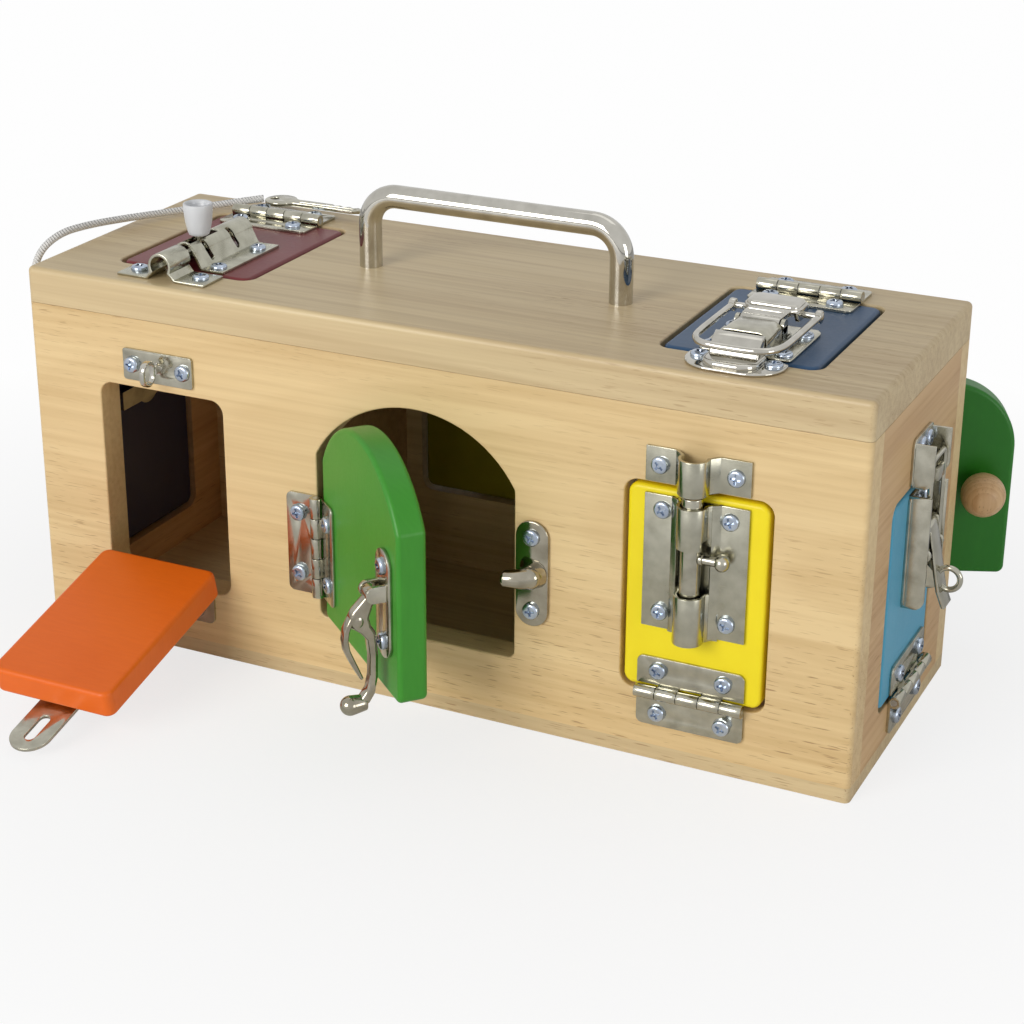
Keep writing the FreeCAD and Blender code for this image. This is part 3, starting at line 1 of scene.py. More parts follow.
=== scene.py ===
# Dresses the wooden lock box: materials, screws, latches, key and cord, lamps and camera.
# Pieces are modelled in millimetres in the frame of the door or board that carries them
# (x and y in the face, z out of it) and are then set in place, in metres.
import bpy
import json
import math
from mathutils import Matrix, Vector


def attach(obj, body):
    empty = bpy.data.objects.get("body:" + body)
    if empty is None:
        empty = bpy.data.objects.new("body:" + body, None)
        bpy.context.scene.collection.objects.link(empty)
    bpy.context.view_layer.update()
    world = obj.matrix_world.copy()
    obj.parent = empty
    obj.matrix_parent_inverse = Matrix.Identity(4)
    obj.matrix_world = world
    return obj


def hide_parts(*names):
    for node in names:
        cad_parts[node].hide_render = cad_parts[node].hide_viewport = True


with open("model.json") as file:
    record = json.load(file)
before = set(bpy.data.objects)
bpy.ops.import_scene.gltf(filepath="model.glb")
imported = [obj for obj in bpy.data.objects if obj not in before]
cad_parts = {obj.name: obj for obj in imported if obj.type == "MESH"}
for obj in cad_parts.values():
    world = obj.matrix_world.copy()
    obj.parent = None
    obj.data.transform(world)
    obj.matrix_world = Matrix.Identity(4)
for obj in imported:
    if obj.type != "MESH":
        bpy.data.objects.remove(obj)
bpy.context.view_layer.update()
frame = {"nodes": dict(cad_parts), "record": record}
nodes = frame["nodes"]
print("frame loaded:", len(nodes), "nodes")

# Camera

view = {"place": (0.36985, -0.75562, 0.41894), "turn": (67.4634, -0.3002, 25.6092), "lens": 79.25, "sensor": 36,
        "shiftY": -0.0264, "nearest": 0.05}
cameraData = bpy.data.cameras.new("camera")
cameraData.lens = view["lens"]
cameraData.sensor_width = view["sensor"]
cameraData.shift_y = view["shiftY"]
cameraData.clip_start = view["nearest"]
cameraObject = bpy.data.objects.new("camera", cameraData)
cameraObject.location = view["place"]
cameraObject.rotation_euler = [math.radians(angle) for angle in view["turn"]]
bpy.context.scene.collection.objects.link(cameraObject)
bpy.context.scene.camera = cameraObject


# Small helpers for modelling

def deselect():
    bpy.ops.object.select_all(action="DESELECT")


def only(piece):
    deselect()
    piece.select_set(True)
    bpy.context.view_layer.objects.active = piece


def named(name):
    piece = bpy.context.object
    piece.name = name
    piece.data.name = name
    return piece


def applied(piece):
    only(piece)
    bpy.ops.object.transform_apply(location=True, rotation=True, scale=True)
    return piece


def brick(low, high, name="brick"):
    deselect()
    middle = [(a + b) / 2 for a, b in zip(low, high)]
    bpy.ops.mesh.primitive_cube_add(size=1, location=middle, scale=[b - a for a, b in zip(low, high)])
    return applied(named(name))


def drum(radius, low, high, name="drum", sides=32, top=None):
    # A round bar between two points, with another radius at its far end if top is given.
    deselect()
    low, high = Vector(low), Vector(high)
    turn = (high - low).to_track_quat("Z", "Y").to_euler()
    if top is None:
        bpy.ops.mesh.primitive_cylinder_add(vertices=sides, radius=radius, depth=(high - low).length,
                                            location=(low + high) / 2, rotation=turn)
    else:
        bpy.ops.mesh.primitive_cone_add(vertices=sides, radius1=radius, radius2=top, depth=(high - low).length,
                                        location=(low + high) / 2, rotation=turn)
    return applied(named(name))


def bead(radius, place, stretch=(1, 1, 1), name="bead", sides=24):
    deselect()
    bpy.ops.mesh.primitive_uv_sphere_add(segments=sides, ring_count=sides // 2, radius=radius, location=place,
                                         scale=stretch)
    return applied(named(name))


def curved(name, points, radius=0.0, sides=0, kind="NURBS", closed=False, steps=8, radii=None):
    # A curve through the points, with a round section where radius is given; radii makes it swell or narrow.
    curve = bpy.data.curves.new(name, "CURVE")
    curve.dimensions = "3D"
    curve.resolution_u = steps
    curve.bevel_depth = radius
    curve.bevel_resolution = sides
    curve.use_fill_caps = True
    line = curve.splines.new(kind)
    line.points.add(len(points) - 1)
    for k, point in enumerate(points):
        line.points[k].co = (*point, 1)
        line.points[k].radius = radii[k] if radii else 1.0
    if kind == "NURBS":
        line.use_cyclic_u = closed
        line.order_u = 3
        line.use_endpoint_u = not closed
    piece = bpy.data.objects.new(name, curve)
    bpy.context.scene.collection.objects.link(piece)
    return piece


def wire(name, *shape, **settings):
    # The same as a mesh.
    only(curved(name, *shape, **settings))
    bpy.ops.object.convert(target="MESH")
    return named(name)


def slab(outline, low, high, name="slab"):
    # A flat piece cut to an outline, from z = low to z = high.
    deselect()
    bpy.ops.mesh.primitive_circle_add(vertices=len(outline), radius=1, fill_type="NGON")
    piece = named(name)
    for vertex, point in zip(piece.data.vertices, outline):
        vertex.co = (point[0], point[1], low)
    only(piece)
    bpy.ops.object.mode_set(mode="EDIT")
    bpy.ops.mesh.select_all(action="SELECT")
    bpy.ops.mesh.extrude_region_move(TRANSFORM_OT_translate={"value": (0, 0, high - low)})
    bpy.ops.mesh.select_all(action="SELECT")
    bpy.ops.mesh.normals_make_consistent(inside=False)
    bpy.ops.object.mode_set(mode="OBJECT")
    return piece


def arc(centre, radius, start, end, steps=12):
    x, y = centre
    return [(x + radius * math.cos(math.radians(start + (end - start) * k / steps)),
             y + radius * math.sin(math.radians(start + (end - start) * k / steps))) for k in range(steps + 1)]


def cutAway(piece, *tools):
    for tool in tools:
        cutter = piece.modifiers.new("cut", "BOOLEAN")
        cutter.operation = "DIFFERENCE"
        cutter.solver = "EXACT"
        cutter.object = tool
        only(piece)
        bpy.ops.object.modifier_apply(modifier=cutter.name)
        bpy.data.objects.remove(tool)
    return piece


def edged(piece, width, steps=2, angle=35):
    # Rounds the sharp edges.
    rounding = piece.modifiers.new("edges", "BEVEL")
    rounding.width = width
    rounding.segments = steps
    rounding.limit_method = "ANGLE"
    rounding.angle_limit = math.radians(angle)
    only(piece)
    bpy.ops.object.modifier_apply(modifier=rounding.name)
    return piece


def smooth(piece, angle=35):
    only(piece)
    bpy.ops.object.shade_smooth_by_angle(angle=math.radians(angle))
    return piece


def joined(name, *pieces):
    deselect()
    for piece in pieces:
        piece.select_set(True)
    bpy.context.view_layer.objects.active = pieces[0]
    if len(pieces) > 1:
        bpy.ops.object.join()
    return named(name)


def copied(piece, matrix):
    twin = bpy.data.objects.new(piece.name, piece.data.copy())
    twin.data.transform(matrix)
    bpy.context.scene.collection.objects.link(twin)
    return twin


def turned(angle, axis, about=(0, 0, 0)):
    about = Vector(about)
    return (Matrix.Translation(about) @ Matrix.Rotation(math.radians(angle), 4, axis)
            @ Matrix.Translation(-about))


# The doors' own frames, as in the source of the solids

doors = {
    "orange": {"place": (-114.3, -62.5, 29), "heading": 0, "tilt": 90, "open": 104},
    "arch": {"place": (-43.2, -62.5, 29), "heading": 0, "tilt": 90, "side": -90, "open": 41},
    "yellow": {"place": (112.7, -62.5, 29), "heading": 0, "tilt": 90},
    "red": {"place": (-116, 39, 155), "heading": 180, "tilt": 0},
    "blue": {"place": (117, 39, 155), "heading": 180, "tilt": 0},
    "sky": {"place": (175, -0.8, 21), "heading": 90, "tilt": 90},
    "navy": {"place": (-175, -0.8, 21), "heading": -90, "tilt": 90},
    "olive": {"place": (-15.5, 62.5, 40), "heading": 180, "tilt": 90},
    "back": {"place": (140, 62.5, 31), "heading": 180, "tilt": 90, "side": -90, "open": 157},
}
bodies = {
    "orange": "orange_door", "arch": "green_arch_door", "yellow": "yellow_door", "red": "red_door",
    "blue": "blue_door", "sky": "sky_door", "navy": "navy_door", "olive": "olive_door",
    "back": "back_green_door",
}
metre = Matrix.Scale(0.001, 4)


def faceOf(door, opened=False):
    spot = doors[door]
    place = (Matrix.Translation(spot["place"]) @ turned(spot["heading"], "Z") @ turned(spot["tilt"], "X")
             @ turned(spot.get("side", 0), "Z"))
    if opened:
        place = place @ turned(spot.get("open", 0), "X", (0, 0, 2.5))
    return place


def settle(piece, door, body, finish, *standsFor, opened=True, slot=None, extra=None):
    # Sets a finished piece in place, gives it its body and material, and hides the nodes it stands for.
    place = faceOf(door, opened)
    if extra:
        place = place @ extra
    piece.data.transform(metre @ place)
    dress(piece, finish)
    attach(piece, body)
    if standsFor:
        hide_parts(*standsFor)
    return piece


def dress(piece, finish):
    piece.data.materials.clear()
    piece.data.materials.append(finish)
    return piece


# Materials

class Flow:
    # Wraps a node socket, so that shader maths reads as sums.
    def __init__(self, tree, socket=None):
        self.tree = tree
        self.socket = socket

    def node(self, kind, settings, sockets, output=0):
        made = self.tree.nodes.new("ShaderNode" + kind)
        for key, setting in settings.items():
            setattr(made, key, setting)
        for key, value in sockets.items():
            if isinstance(value, Flow):
                self.tree.links.new(value.socket, made.inputs[key])
            else:
                made.inputs[key].default_value = value
        return Flow(self.tree, made.outputs[output])

    def maths(self, operation, *values):
        return self.node("Math", {"operation": operation}, dict(enumerate(values)))

    def __add__(self, other):
        return self.maths("ADD", self, other)

    def __radd__(self, other):
        return self.maths("ADD", other, self)

    def __sub__(self, other):
        return self.maths("SUBTRACT", self, other)

    def __rsub__(self, other):
        return self.maths("SUBTRACT", other, self)

    def __mul__(self, other):
        return self.maths("MULTIPLY", self, other)

    def __rmul__(self, other):
        return self.maths("MULTIPLY", other, self)

    def __truediv__(self, other):
        return self.maths("DIVIDE", self, other)

    def __rtruediv__(self, other):
        return self.maths("DIVIDE", other, self)

    def __pow__(self, other):
        return self.maths("POWER", self, other)

    def noise(self, place, scale, detail=2.0):
        return self.node("TexNoise", {}, {"Vector": place, "Scale": scale, "Detail": detail})

    def streaked(self, place, scale, detail):
        # Noise drawn out along an axis by a scale for each.
        return self.noise(self.node("Mapping", {}, {"Vector": place, "Scale": scale}), 1.0, detail)

    def ramp(self, low, high):
        # 0 below low, 1 above high.
        return self.node("MapRange", {}, {0: self, 1: low, 2: high})

    def tint(self, base, other):
        # Goes from base to other as this value goes from 0 to 1.
        return self.node("Mix", {"data_type": "RGBA"}, {0: self, 6: base, 7: other}, 2)


def tone(red, green, blue):
    return tuple((c / 255 / 12.92) if c <= 10 else ((c / 255 + 0.055) / 1.055) ** 2.4
                 for c in (red, green, blue)) + (1,)


def newMaterial(name, **settings):
    material = bpy.data.materials.new(name)
    material.use_nodes = True
    shader = material.node_tree.nodes["Principled BSDF"]
    for key, value in settings.items():
        shader.inputs[key.replace("_", " ")].default_value = value
    return material, Flow(material.node_tree), shader


def feed(shader, flow, **links):
    for key, value in links.items():
        flow.tree.links.new(value.socket, shader.inputs[key.replace("_", " ")])


def bumped(flow, height, strength, distance):
    return flow.node("Bump", {}, {"Strength": strength, "Distance": distance, "Height": height})

woodLook = {
    "pale": tone(232, 204, 152), "deep": tone(200, 166, 112), "pore": tone(142, 98, 58),
    "ringSpacing": 0.0085, "ringDepth": 0.17, "poreDepth": 0.62, "warp": 0.006, "roughness": 0.44,
}


def makeWood(name, along, heart, look=woodLook, swirl=3.0, seed=0.0):
    # along turns the grain on to X; heart is where the log's middle lies, from the board.
    material, flow, shader = newMaterial(name, Coat_Weight=0.15, Coat_Roughness=0.35)
    place = flow.node("TexCoord", {}, {}, "Object")
    lined = flow.node("Mapping", {}, {"Vector": place, "Location": (seed, seed * 0.7, seed * 0.3), "Rotation": along})
    drift = flow.noise(flow.node("Mapping", {}, {"Vector": lined, "Scale": (1.6, 7, 7)}), swirl)
    sideways = flow.node("SeparateXYZ", {}, {0: lined}, 0)
    across = Flow(flow.tree, sideways.socket.node.outputs[1])
    upward = Flow(flow.tree, sideways.socket.node.outputs[2])
    far = ((across - heart[0] + sideways * heart[2]) ** 2 + (upward - heart[1]) ** 2) ** 0.5
    rings = (far + (drift - 0.5) * look["warp"]) / look["ringSpacing"]
    late = rings.maths("FRACT", rings)
    late = (late ** 1.6) * (1 - late.ramp(0.88, 1.0))
    streaks = flow.streaked(lined, (9, 420, 420), 3.0)
    bands = flow.streaked(lined, (2.5, 60, 60), 2.0)
    clouds = flow.streaked(lined, (4, 12, 12), 2.0)
    pores = flow.streaked(lined, (110, 1900, 1900), 1.0)
    pores = pores.ramp(0.64, 0.72) * clouds.ramp(0.38, 0.6)
    shade = (late * look["ringDepth"] + (streaks - 0.5) * 1.1 + (bands - 0.5) * 0.9 + (clouds - 0.5) * 0.8 + 0.22)
    colour = shade.ramp(0.0, 1.0).tint(look["pale"], look["deep"])
    colour = (pores * look["poreDepth"]).tint(colour, look["pore"])
    rough = look["roughness"] + (streaks - 0.5) * 0.2 + pores * 0.15
    feed(shader, flow, Base_Color=colour, Roughness=rough,
         Normal=bumped(flow, streaks * 0.4 - pores, 0.22, 0.0002))
    return material


def makePaint(name, colour, deep, seed=0.0):
    # Satin paint over wood: a faint grain and small runs show through.
    material, flow, shader = newMaterial(name, Coat_Weight=0.1, Coat_Roughness=0.3, Specular_IOR_Level=0.35)
    place = flow.node("TexCoord", {}, {}, "Object")
    moved = flow.node("Mapping", {}, {"Vector": place, "Location": (seed, 0, 0), "Scale": (120, 900, 120)})
    grain = flow.noise(moved, 1.0)
    cloud = flow.noise(place, 22.0, 3.0)
    speck = flow.noise(place, 900.0, 1.0)
    worn = (cloud - 0.5) * 0.7 + (grain - 0.5) * 0.5 + 0.3
    colour = worn.ramp(0.0, 1.0).tint(colour, deep)
    feed(shader, flow, Base_Color=colour, Roughness=0.4 + (cloud - 0.5) * 0.2 + (speck - 0.5) * 0.1,
         Normal=bumped(flow, grain * 0.5 + speck * 0.5, 0.12, 0.0002))
    return material


def makeMetal(name, colour, deep, rough, scratch=0.15, bump=0.05, lay=(300, 300, 4000)):
    material, flow, shader = newMaterial(name, Metallic=1.0)
    place = flow.node("TexCoord", {}, {}, "Object")
    cloud = flow.noise(place, 160.0, 3.0)
    lines = flow.streaked(place, lay, 2.0)
    speck = flow.noise(place, 2500.0, 1.0)
    colour = cloud.ramp(0.3, 0.75).tint(colour, deep)
    feed(shader, flow, Base_Color=colour,
         Roughness=rough + (cloud - 0.5) * scratch + (lines - 0.5) * scratch * 0.7,
         Normal=bumped(flow, lines * 0.5 + speck * 0.5, bump, 0.0001))
    return material


flat = (0, 0, 0)
upright = (0, math.radians(90), 0)
frontWood = makeWood("frontWood", flat, (0.02, 0.09, 0.10), seed=0.0)
# Top and bottom boards: the front's wood in darker, greyer tones; the darker tone is painted shade, while the grain is
# the wood's own.
topWoodShaded = makeWood("topWoodShaded", flat, (0.10, -0.05, 0.05), seed=1.7, look={
    **woodLook, "pale": tone(218, 196, 152), "deep": tone(182, 154, 112)})
backWood = makeWood("backWood", flat, (0.03, -0.10, -0.08), seed=3.1)
# End boards: the grain turned across the end and the tones darker and warmer; the darker tone is painted shade, while
# the grain is the wood's own.
endWoodShaded = makeWood("endWoodShaded", (0, 0, math.radians(90)), (0.08, 0.12, 0.12), seed=5.3, look={
    **woodLook, "pale": tone(214, 176, 124), "deep": tone(176, 130, 82)})
# Dividers inside the box: the same wood in darker tones; the darker tone is painted shade inside the box, while the
# grain is the wood's own.
innerWoodShaded = makeWood("innerWoodShaded", flat, (0.05, 0.07, 0.03), seed=7.9, look={
    **woodLook, "pale": tone(206, 168, 116), "deep": tone(168, 124, 78)})
knobWood = makeWood("knobWood", upright, (0.012, 0.01, 0.1), seed=9.2, look={
    **woodLook, "pale": tone(226, 190, 142), "deep": tone(190, 144, 96), "ringSpacing": 0.0016,
    "warp": 0.002, "ringDepth": 0.45})
paints = {
    "orange_door": makePaint("orangePaint", tone(242, 112, 20), tone(224, 94, 12)),
    "green_arch_door": makePaint("greenPaint", tone(62, 148, 42), tone(48, 128, 30), 1.0),
    "yellow_door": makePaint("yellowPaint", tone(250, 230, 30), tone(238, 212, 16), 2.0),
    "red_door": makePaint("redPaint", tone(126, 46, 48), tone(104, 32, 36), 3.0),
    "blue_door": makePaint("bluePaint", tone(46, 84, 122), tone(34, 66, 98), 4.0),
    "sky_door": makePaint("skyPaint", tone(82, 170, 202), tone(66, 148, 184), 5.0),
    "navy_door": makePaint("navyPaint", tone(34, 40, 82), tone(24, 28, 62), 6.0),
    # Back wall's middle door: yellow paint darkened to olive; the darkening is painted shade.
    "olive_door": makePaint("shadedYellowPaint", tone(150, 140, 24), tone(124, 114, 16), 7.0),
    "back_green_door": makePaint("darkGreenPaint", tone(40, 128, 30), tone(28, 104, 20), 8.0),
}
nickel = makeMetal("nickel", tone(196, 193, 178), tone(162, 159, 144), 0.17)
brushed = makeMetal("brushed", tone(192, 190, 174), tone(164, 162, 146), 0.24, bump=0.1)
castNickel = makeMetal("castNickel", tone(180, 174, 158), tone(146, 140, 124), 0.12, bump=0.06)
chrome = makeMetal("chrome", tone(206, 203, 194), tone(184, 181, 172), 0.06, scratch=0.05, bump=0.02)
zinc = makeMetal("zinc", tone(196, 206, 220), tone(160, 172, 190), 0.24)

plastic, plasticFlow, plasticShader = newMaterial(
    "whitePlastic", Subsurface_Weight=0.5, Subsurface_Radius=(0.005, 0.005, 0.005), Coat_Weight=0.15)
plasticPlace = plasticFlow.node("TexCoord", {}, {}, "Object")
plasticCloud = plasticFlow.noise(plasticPlace, 90.0)
feed(plasticShader, plasticFlow,
     Base_Color=plasticCloud.tint(tone(228, 230, 232), tone(212, 214, 218)),
     Roughness=0.32 + (plasticCloud - 0.5) * 0.15)

cordCloth, cordFlow, cordShader = newMaterial("braidedCord", Sheen_Weight=0.3)
cordPlace = cordFlow.node("TexCoord", {}, {}, "Object")
lay = cordFlow.node("TexWave", {"wave_type": "BANDS", "bands_direction": "DIAGONAL"},
                    {"Vector": cordPlace, "Scale": 330.0, "Distortion": 1.5}, 1)
fuzz = cordFlow.noise(cordPlace, 1800.0)
# The braid is lighter on its raised lay and darker in its grooves: painted shade in the grooves, beside the bump.
feed(cordShader, cordFlow,
     Base_Color=(lay * 0.6 + (fuzz - 0.5) * 0.5).tint(tone(224, 223, 220), tone(250, 249, 247)),
     Roughness=0.75 + (fuzz - 0.5) * 0.2, Normal=bumped(cordFlow, lay + fuzz * 0.4, 0.7, 0.0006))
print("materials made")

boardFinish = {
    "front_board": frontWood, "back_board": backWood, "top_board": topWoodShaded, "bottom_board": topWoodShaded,
    "left_end_board": endWoodShaded, "right_end_board": endWoodShaded, "left_divider": innerWoodShaded,
    "right_divider": innerWoodShaded, "ball_knob": knobWood, "turn_button": knobWood,
    "carry_handle": chrome, "key": nickel, "red_bolt_knob": plastic, "key_cord": cordCloth,
    "frame_screws": zinc, "handle_screws": zinc, "hinge_pins": zinc,
}
for name, node in nodes.items():
    dress(node, boardFinish.get(name) or paints.get(name) or nickel)

# Key, lying on the top board

keyLook = {"bow": 7, "blade": 2.9, "length": 47, "thick": 1.6, "at": (-127, 54, 158.2)}
tip = keyLook["length"] - keyLook["bow"]
blade = keyLook["blade"]
keyOutline = (arc((0, 0), keyLook["bow"], 30, 330, 28) + [(7.6, -blade), (tip - 4, -blade), (tip, -blade + 2.4),
              (tip - 1.6, blade - 1.2), (tip - 3.4, blade - 0.2), (tip - 5.2, blade - 1.8), (tip - 7.4, blade - 0.4),
              (tip - 9.6, blade - 2.0), (tip - 12, blade - 0.3), (tip - 14, blade - 1.5), (tip - 16, blade),
              (7.6, blade)])
key = slab(keyOutline, 0, keyLook["thick"], "key")
cutAway(key, drum(1.9, (-3.15, 0, -1), (-3.15, 0, 3), "keyHole", 28),
        brick((9, -0.9, keyLook["thick"] - 0.45), (tip - 3, 0.2, keyLook["thick"] + 1), "keyGroove"))
edged(key, 0.22, 2)
key.data.transform(metre @ Matrix.Translation(keyLook["at"]))
dress(smooth(key), nickel)
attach(key, "box")
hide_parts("key")

# Cord: out of its hole, up over the edge of the top and along it to the key

cord = {"radius": 0.0015, "points": [
    (-172.0, -41.0, 117.0), (-182.0, -41.0, 117.0), (-187.5, -41.5, 126.0), (-188.0, -42.5, 139.0),
    (-186.0, -41.0, 152.5), (-181.5, -32.0, 159.5), (-177.5, -17.0, 160.0), (-171.5, 4.0, 158.5),
    (-162.0, 25.0, 157.3), (-149.0, 43.0, 157.8), (-135.2, 53.0, 159.4),
]}
cordPiece = curved("keyCord", [[c / 1000 for c in point] for point in cord["points"]], cord["radius"], 5, steps=12)
cordPiece.data.materials.append(cordCloth)
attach(cordPiece, "box")
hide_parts("key_cord")

# Screws: one pan head with a cross recess, copied to where the solids have theirs

screw = {"headRadius": 3.35, "headHeight": 1.68, "rim": 1.1, "slotWidth": 0.9, "slotLength": 3.8,
         "slotDepth": 1.2, "shankRadius": 1.45, "length": 8.3, "plainLength": 10.2, "plainHead": 1.7}


def makeScrew():
    head = drum(screw["headRadius"], (0, 0, 0), (0, 0, screw["headHeight"]), "screw", 28)
    bpy.ops.object.mode_set(mode="EDIT")
    bpy.ops.mesh.select_all(action="DESELECT")
    bpy.ops.object.mode_set(mode="OBJECT")
    for face in head.data.polygons:
        face.select = face.normal.z > 0.9
    bpy.ops.object.mode_set(mode="EDIT")
    bpy.ops.mesh.select_mode(type="FACE")
    bpy.ops.mesh.bevel(offset=screw["rim"], segments=5, affect="EDGES")
    bpy.ops.object.mode_set(mode="OBJECT")
    half = screw["slotLength"] / 2
    wide = screw["slotWidth"] / 2
    top = screw["headHeight"] + 1
    low = screw["headHeight"] - screw["slotDepth"]
    cutAway(head, brick((-half, -wide, low), (half, wide, top)), brick((-wide, -half, low), (wide, half, top)),
            drum(0.5, (0, 0, low - 0.4), (0, 0, top), sides=12, top=1.3))
    shank = drum(0.5, (0, 0, -screw["length"]), (0, 0, 0.4), "shank", 12, top=screw["shankRadius"])
    return smooth(joined("screw", head, shank), 30)


screwMaster = makeScrew()
screwCount = 0


def screwAt(place, outward, spin):
    # place is the middle of the seat, in metres.
    global screwCount
    screwCount += 1
    turn = outward.to_track_quat("Z", "Y").to_matrix().to_4x4()
    return copied(screwMaster, Matrix.Translation(place) @ turn @ turned(spin, "Z") @ metre)


def takenApart(name):
    # A copy of a node's mesh, merged and parted into its loose pieces.
    source = nodes[name]
    piece = bpy.data.objects.new(name + "Copy", source.data.copy())
    bpy.context.scene.collection.objects.link(piece)
    only(piece)
    bpy.ops.object.mode_set(mode="EDIT")
    bpy.ops.mesh.select_all(action="SELECT")
    bpy.ops.mesh.remove_doubles(threshold=0.000002)
    bpy.ops.mesh.dissolve_limited(angle_limit=math.radians(0.6))
    bpy.ops.mesh.separate(type="LOOSE")
    bpy.ops.object.mode_set(mode="OBJECT")
    return list(bpy.context.selected_objects)


def crownOf(part, outward):
    # The middle of a plain screw's head, if the piece is a screw that points this way.
    spots = [vertex.co for vertex in part.data.vertices]
    heights = [spot.dot(outward) for spot in spots]
    top = max(heights)
    if abs(top - min(heights) - screw["plainLength"] / 1000) > 0.0002:
        return None
    crown = [spot for spot, height in zip(spots, heights) if height > top - 0.0003]
    middle = sum(crown, Vector()) / len(crown)
    wide = max((spot - middle).length for spot in crown)
    return middle if 0.0018 < wide < 0.004 else None


def screwsAndRest(name, outwards):
    # Puts a detailed screw where each plain one was. Returns the screws and the other pieces.
    made = []
    rest = []
    for part in takenApart(name):
        found = [(outward, crownOf(part, outward)) for outward in outwards]
        found = [(outward, crown) for outward, crown in found if crown]
        if not found:
            rest.append(part)
            continue
        outward, crown = found[0]
        spin = (len(made) * 37 + len(name) * 11) % 90  # no two crosses stand alike
        made.append(screwAt(crown - outward * screw["plainHead"] / 1000, outward, spin))
        bpy.data.objects.remove(part)
    return made, rest


faces = [Vector((0, -1, 0)), Vector((0, 1, 0)), Vector((0, 0, 1)), Vector((1, 0, 0)), Vector((-1, 0, 0))]
fixed, leftOver = screwsAndRest("frame_screws", faces)
print("screws in the box:", len(fixed), "left over:", len(leftOver))
boxScrews = joined("boxScrews", *fixed, *leftOver)
dress(boxScrews, zinc)
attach(boxScrews, "box")
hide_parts("frame_screws")


def redress(node, door, finish=nickel, edge=0.2, plain=True):
    # A latch plate or hinge leaf from its solid, with rounded edges and detailed screws;
    # without plain only its screws are kept.
    outward = (faceOf(door, True).to_3x3() @ Vector((0, 0, 1))).normalized()
    made, rest = screwsAndRest(node, [outward])
    body = [owner for owner, names in frame["record"]["behaviour"]["bodies"].items() if node in names][0]
    if rest and plain:
        metal = smooth(edged(joined(node + "Metal", *rest), edge / 1000), 35)
        dress(metal, finish)
        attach(metal, body)
        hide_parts(node)
    elif rest:
        for part in rest:
            bpy.data.objects.remove(part)
    if made:
        held = joined(node + "Screws", *made)
        dress(held, zinc)
        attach(held, body)
        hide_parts(node)


leafNodes = {
    "orange": "orange_door_hinge_leaf", "arch": "green_arch_door_hinge_leaf", "yellow": "yellow_door_hinge_leaf",
    "red": "red_door_hinge_leaf", "blue": "blue_door_hinge_leaf", "sky": "sky_door_hinge_leaf",
    "navy": "navy_door_hinge_leaf", "olive": "olive_door_hinge_leaf", "back": "back_green_door_hinge_leaf",
}
for door, node in leafNodes.items():
    redress(node, door)
redress("frame_hinge_leaves", "yellow")
for node, door in (("hasp_strap", "orange"), ("staple_plate", "orange"), ("arch_latch_plate", "arch"),
                   ("draw_latch_base", "sky"), ("draw_latch_catch", "sky")):
    redress(node, door, edge=0.35)
for node, door in (("yellow_bolt_base", "yellow"), ("red_bolt_body", "red"), ("toggle_latch_base", "blue")):
    redress(node, door, plain=False)
print("screws set:", screwCount)
bpy.data.objects.remove(screwMaster)

# Turning staple: an oval of flat bar on a round neck

staple = {"out": 92.7, "half": 5.3, "high": 12.1, "low": 3.6, "rim": 1.35, "width": 2.3, "neck": 1.85}


def ovalOutline(half, low, high, shrink=0.0):
    radius = (high - low) / 2 - shrink
    middle = (high + low) / 2
    spread = half - (high - low) / 2
    return arc((spread, middle), radius, -90, 90, 16) + arc((-spread, middle), radius, 90, 270, 16)


sideOn = Matrix(((0, 0, 1, 0), (1, 0, 0, 0), (0, 1, 0, 0), (0, 0, 0, 1)))
wide = staple["width"] / 2
stapleRing = slab(ovalOutline(staple["half"], staple["low"], staple["high"]), -wide, wide, "stapleRing")
cutAway(stapleRing, slab(ovalOutline(staple["half"], staple["low"], staple["high"], staple["rim"]), -5, 5, "eye"))
edged(stapleRing, 0.45, 3)
stapleRing.data.transform(Matrix.Translation((0, staple["out"], 0)) @ sideOn)
neck = drum(staple["neck"], (0, staple["out"], 1.25), (0, staple["out"], staple["low"] + 0.8), "neck", 24)
collar = edged(drum(2.6, (0, staple["out"], 1.2), (0, staple["out"], 1.62), "collar", 32), 0.15)
settle(smooth(joined("turnStaple", stapleRing, neck, collar)), "orange", "turn_staple", chrome, "turn_staple",
       opened=False, slot="nickel")

# Yellow barrel bolt: a folded base with two round guides, a rod with a ball on its arm

bolt = {"axis": 5.7, "inner": 4.5, "wall": 1.2, "foot": 9.3, "half": 20, "low": 26.5, "high": 79,
        "lowGuide": (25.6, 44.5), "highGuide": (63.2, 79), "rod": 3.8, "rodLow": 36.3, "rodHigh": 82.45,
        "arm": 59, "armReach": 12, "armRadius": 1.75, "ball": 3.25}


def stripOutline(path, thick):
    # The outline of a folded strip, half its thickness on each side of the path.
    left, right = [], []
    for k, spot in enumerate(path):
        here = Vector(spot)
        before = here - Vector(path[k - 1]) if k else Vector(path[1]) - here
        after = Vector(path[k + 1]) - here if k < len(path) - 1 else before
        middle = (before.normalized() + after.normalized()).normalized()
        reach = thick / 2 / max(middle.dot(before.normalized()), 0.4)
        across = Vector((-middle.y, middle.x)) * reach
        left.append(tuple(here + across))
        right.append(tuple(here - across))
    return left + right[::-1]


def folded(path, thick, low, high, name="folded"):
    # A strip that follows (x, height) points and runs from y = low to y = high.
    piece = slab(stripOutline(path, thick), -high, -low, name)
    piece.data.transform(turned(90, "X"))
    return piece


def archPath(half, foot, inner, wall, axis, base=0.6, waist=-18):
    # Flat feet, slanted flanks and a round top: half of the path, mirrored.
    middle = inner + wall / 2
    crown = arc((0, axis), middle, waist, 90, 16)
    right = [(half, base), (foot, base), (foot - 1.2, base + 0.25)] + crown
    return right + [(-x, y) for x, y in right[-2::-1]]


